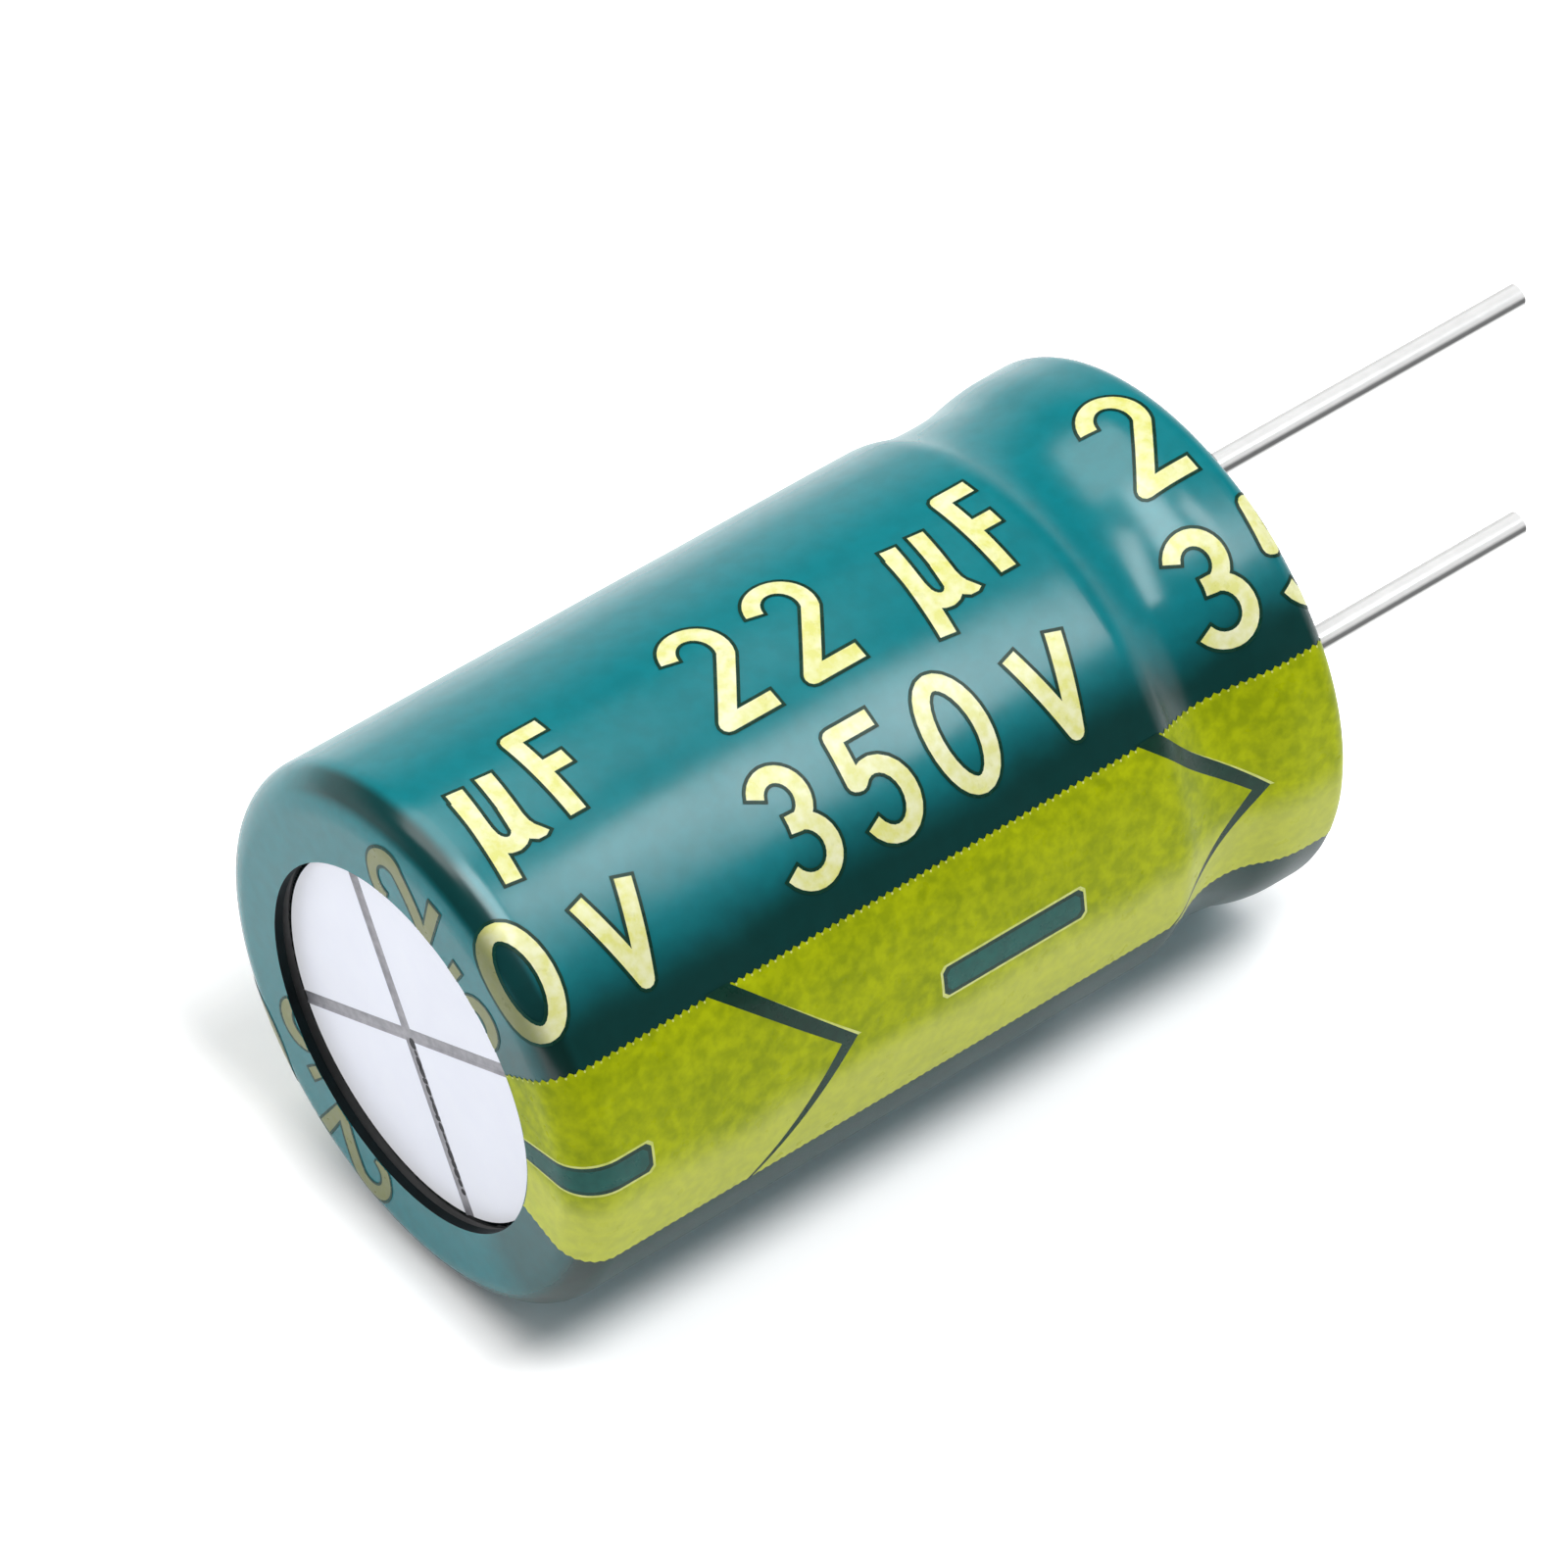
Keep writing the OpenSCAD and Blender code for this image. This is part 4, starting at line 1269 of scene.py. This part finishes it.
def floor_material():
    """A white floor that shows its shadow, cast partly by the lamps and partly painted by its glow, and
    nothing from below
    """
    material = bpy.data.materials.new("White Floor")
    tree = blank_tree(material)
    colour = add(tree, "ShaderNodeGroup", {
        "Main": (0.93, 0.93, 0.94), "Other": (0.91, 0.91, 0.92), "Fine Scale": 900.0, "Broad Scale": 60.0},
        node_tree=mottle_group())
    surface = add(tree, "ShaderNodeBsdfPrincipled", {
        "Base Color": colour, "Roughness": 0.8, "Specular IOR Level": 0.1})
    rays = add(tree, "ShaderNodeLightPath").outputs
    direct, mirrored = floor_shadow(tree)
    level = maths(tree, "MULTIPLY_ADD", rays["Is Camera Ray"], direct,
                  product(tree, rays["Is Glossy Ray"], mirrored))
    glow = add(tree, "ShaderNodeEmission", {"Strength": level})
    both = add(tree, "ShaderNodeAddShader", {0: surface, 1: glow})
    clear = add(tree, "ShaderNodeBsdfTransparent", {"Color": (1.0, 1.0, 1.0)})
    below = add(tree, "ShaderNodeNewGeometry").outputs["Backfacing"]
    pick = add(tree, "ShaderNodeMixShader", {0: below, 1: both, 2: clear})
    add(tree, "ShaderNodeOutputMaterial", {"Surface": pick})
    return material


def white_world(ambient):
    """A room that looks white and lights the object softly, and whose upper part is dark to a mirror"""
    world = bpy.data.worlds.new("Studio Room")
    tree = blank_tree(world)
    rays = add(tree, "ShaderNodeLightPath").outputs
    seen = maths(tree, "MAXIMUM", rays["Is Camera Ray"], rays["Is Transmission Ray"])
    where = add(tree, "ShaderNodeTexCoord").outputs["Generated"]
    height = reach_along(tree, where, FLOOR_UP)
    far, near = ramp(tree, height, 0.15, 0.6, 1.0, 0.02), ramp(tree, height, -0.03, 0.05, 1.0, 0.03)
    which = ramp(tree, reach_along(tree, where, NEAR_SIDE), -0.1, 0.2)
    gloss = mix(tree, "FLOAT", rays["Is Glossy Ray"], ambient, mix(tree, "FLOAT", which, far, near))
    level = mix(tree, "FLOAT", seen, gloss, WHITE_LEVEL)
    back = add(tree, "ShaderNodeBackground", {"Strength": level})
    add(tree, "ShaderNodeOutputWorld", {"Surface": back})
    bpy.context.scene.world = world


def photo_side(x, y, z):
    """A direction given from the stripe's side of the body, with the floor's up at minus y"""
    turn = math.radians(-12)
    return (x * math.cos(turn) - y * math.sin(turn), x * math.sin(turn) + y * math.cos(turn), z)


class CAP_OT_stage(bpy.types.Operator):
    """Set up the floor, lamps, room and camera"""
    bl_idname = "capacitor.stage"
    bl_label = "Studio Stage"

    def execute(self, context):
        f, s = context.scene.cap_film, context.scene.cap_studio
        across = FLOOR_UP.cross(AXIS)
        middle = -FLOOR_UP * (f.radius + 0.01 * MM)
        corners = [middle + across * a * s.floor_size + AXIS * b * s.floor_size
                   for a, b in ((-1, -1), (1, -1), (1, 1), (-1, 1))]
        floor = mesh_object("floor", corners, [(0, 1, 2, 3)], False)
        if floor.data.polygons[0].normal.dot(FLOOR_UP) < 0:
            floor.data.flip_normals()
        floor.data.materials.append(floor_material())
        lamp("key_lamp", photo_side(-0.42, -0.9, -0.1), 0.28, 0.16, 0.3, s.key, (1.0, 0.99, 0.97))
        lamp("strip_lamp", photo_side(0.31, -0.83, 0.42), 0.115, 0.062, 0.024, s.strip, (0.97, 0.99, 1.0),
             tilt=math.radians(21))
        shine = lamp("head_lamp", photo_side(0.133, -0.98, -0.13), 0.12, 0.07, 0.07, s.strip * 1.1,
                     (0.98, 0.99, 1.0))
        shine.visible_diffuse = False
        white_world(s.ambient)
        data = bpy.data.cameras.new("camera")
        data.sensor_width = 36.0
        data.lens = s.lens
        data.clip_start = 0.005
        data.clip_end = 5.0
        camera = new_object("camera", data)
        turn = Matrix((VIEW_RIGHT, VIEW_UP, VIEW_BACK)).transposed().to_4x4()
        camera.matrix_world = Matrix.Translation(Vector(s.camera_place)) @ turn
        context.scene.camera = camera
        context.scene.view_settings.view_transform = "Standard"
        return {"FINISHED"}


class CAP_PT_panel(bpy.types.Panel):
    """Buttons for each group of the capacitor's pieces"""
    bl_idname = "CAP_PT_panel"
    bl_label = "Radial Capacitor"
    bl_space_type = "VIEW_3D"
    bl_region_type = "UI"
    bl_category = "Capacitor"

    def draw(self, context):
        column = self.layout.column(align=True)
        for operator in OPERATORS:
            column.operator(operator.bl_idname)


OPERATORS = (CAP_OT_film, CAP_OT_vent, CAP_OT_stripe, CAP_OT_values, CAP_OT_metal, CAP_OT_inside,
             CAP_OT_stage)
GROUPS = {"cap_film": CapFilmSizes, "cap_vent": CapVentSizes, "cap_print": CapPrintSizes,
          "cap_colours": CapColours, "cap_studio": CapStudio}


def register():
    for cls in (*GROUPS.values(), *OPERATORS, CAP_PT_panel):
        bpy.utils.register_class(cls)
    for name, cls in GROUPS.items():
        setattr(bpy.types.Scene, name, PointerProperty(type=cls))


def unregister():
    for name in GROUPS:
        delattr(bpy.types.Scene, name)
    for cls in reversed((*GROUPS.values(), *OPERATORS, CAP_PT_panel)):
        bpy.utils.unregister_class(cls)


def main():
    register()
    bpy.ops.capacitor.film()
    bpy.ops.capacitor.vent()
    bpy.ops.capacitor.stripe()
    bpy.ops.capacitor.values()
    bpy.ops.capacitor.metal()
    bpy.ops.capacitor.inside()
    bpy.ops.capacitor.stage()
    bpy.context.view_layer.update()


if __name__ == "__main__":
    main()
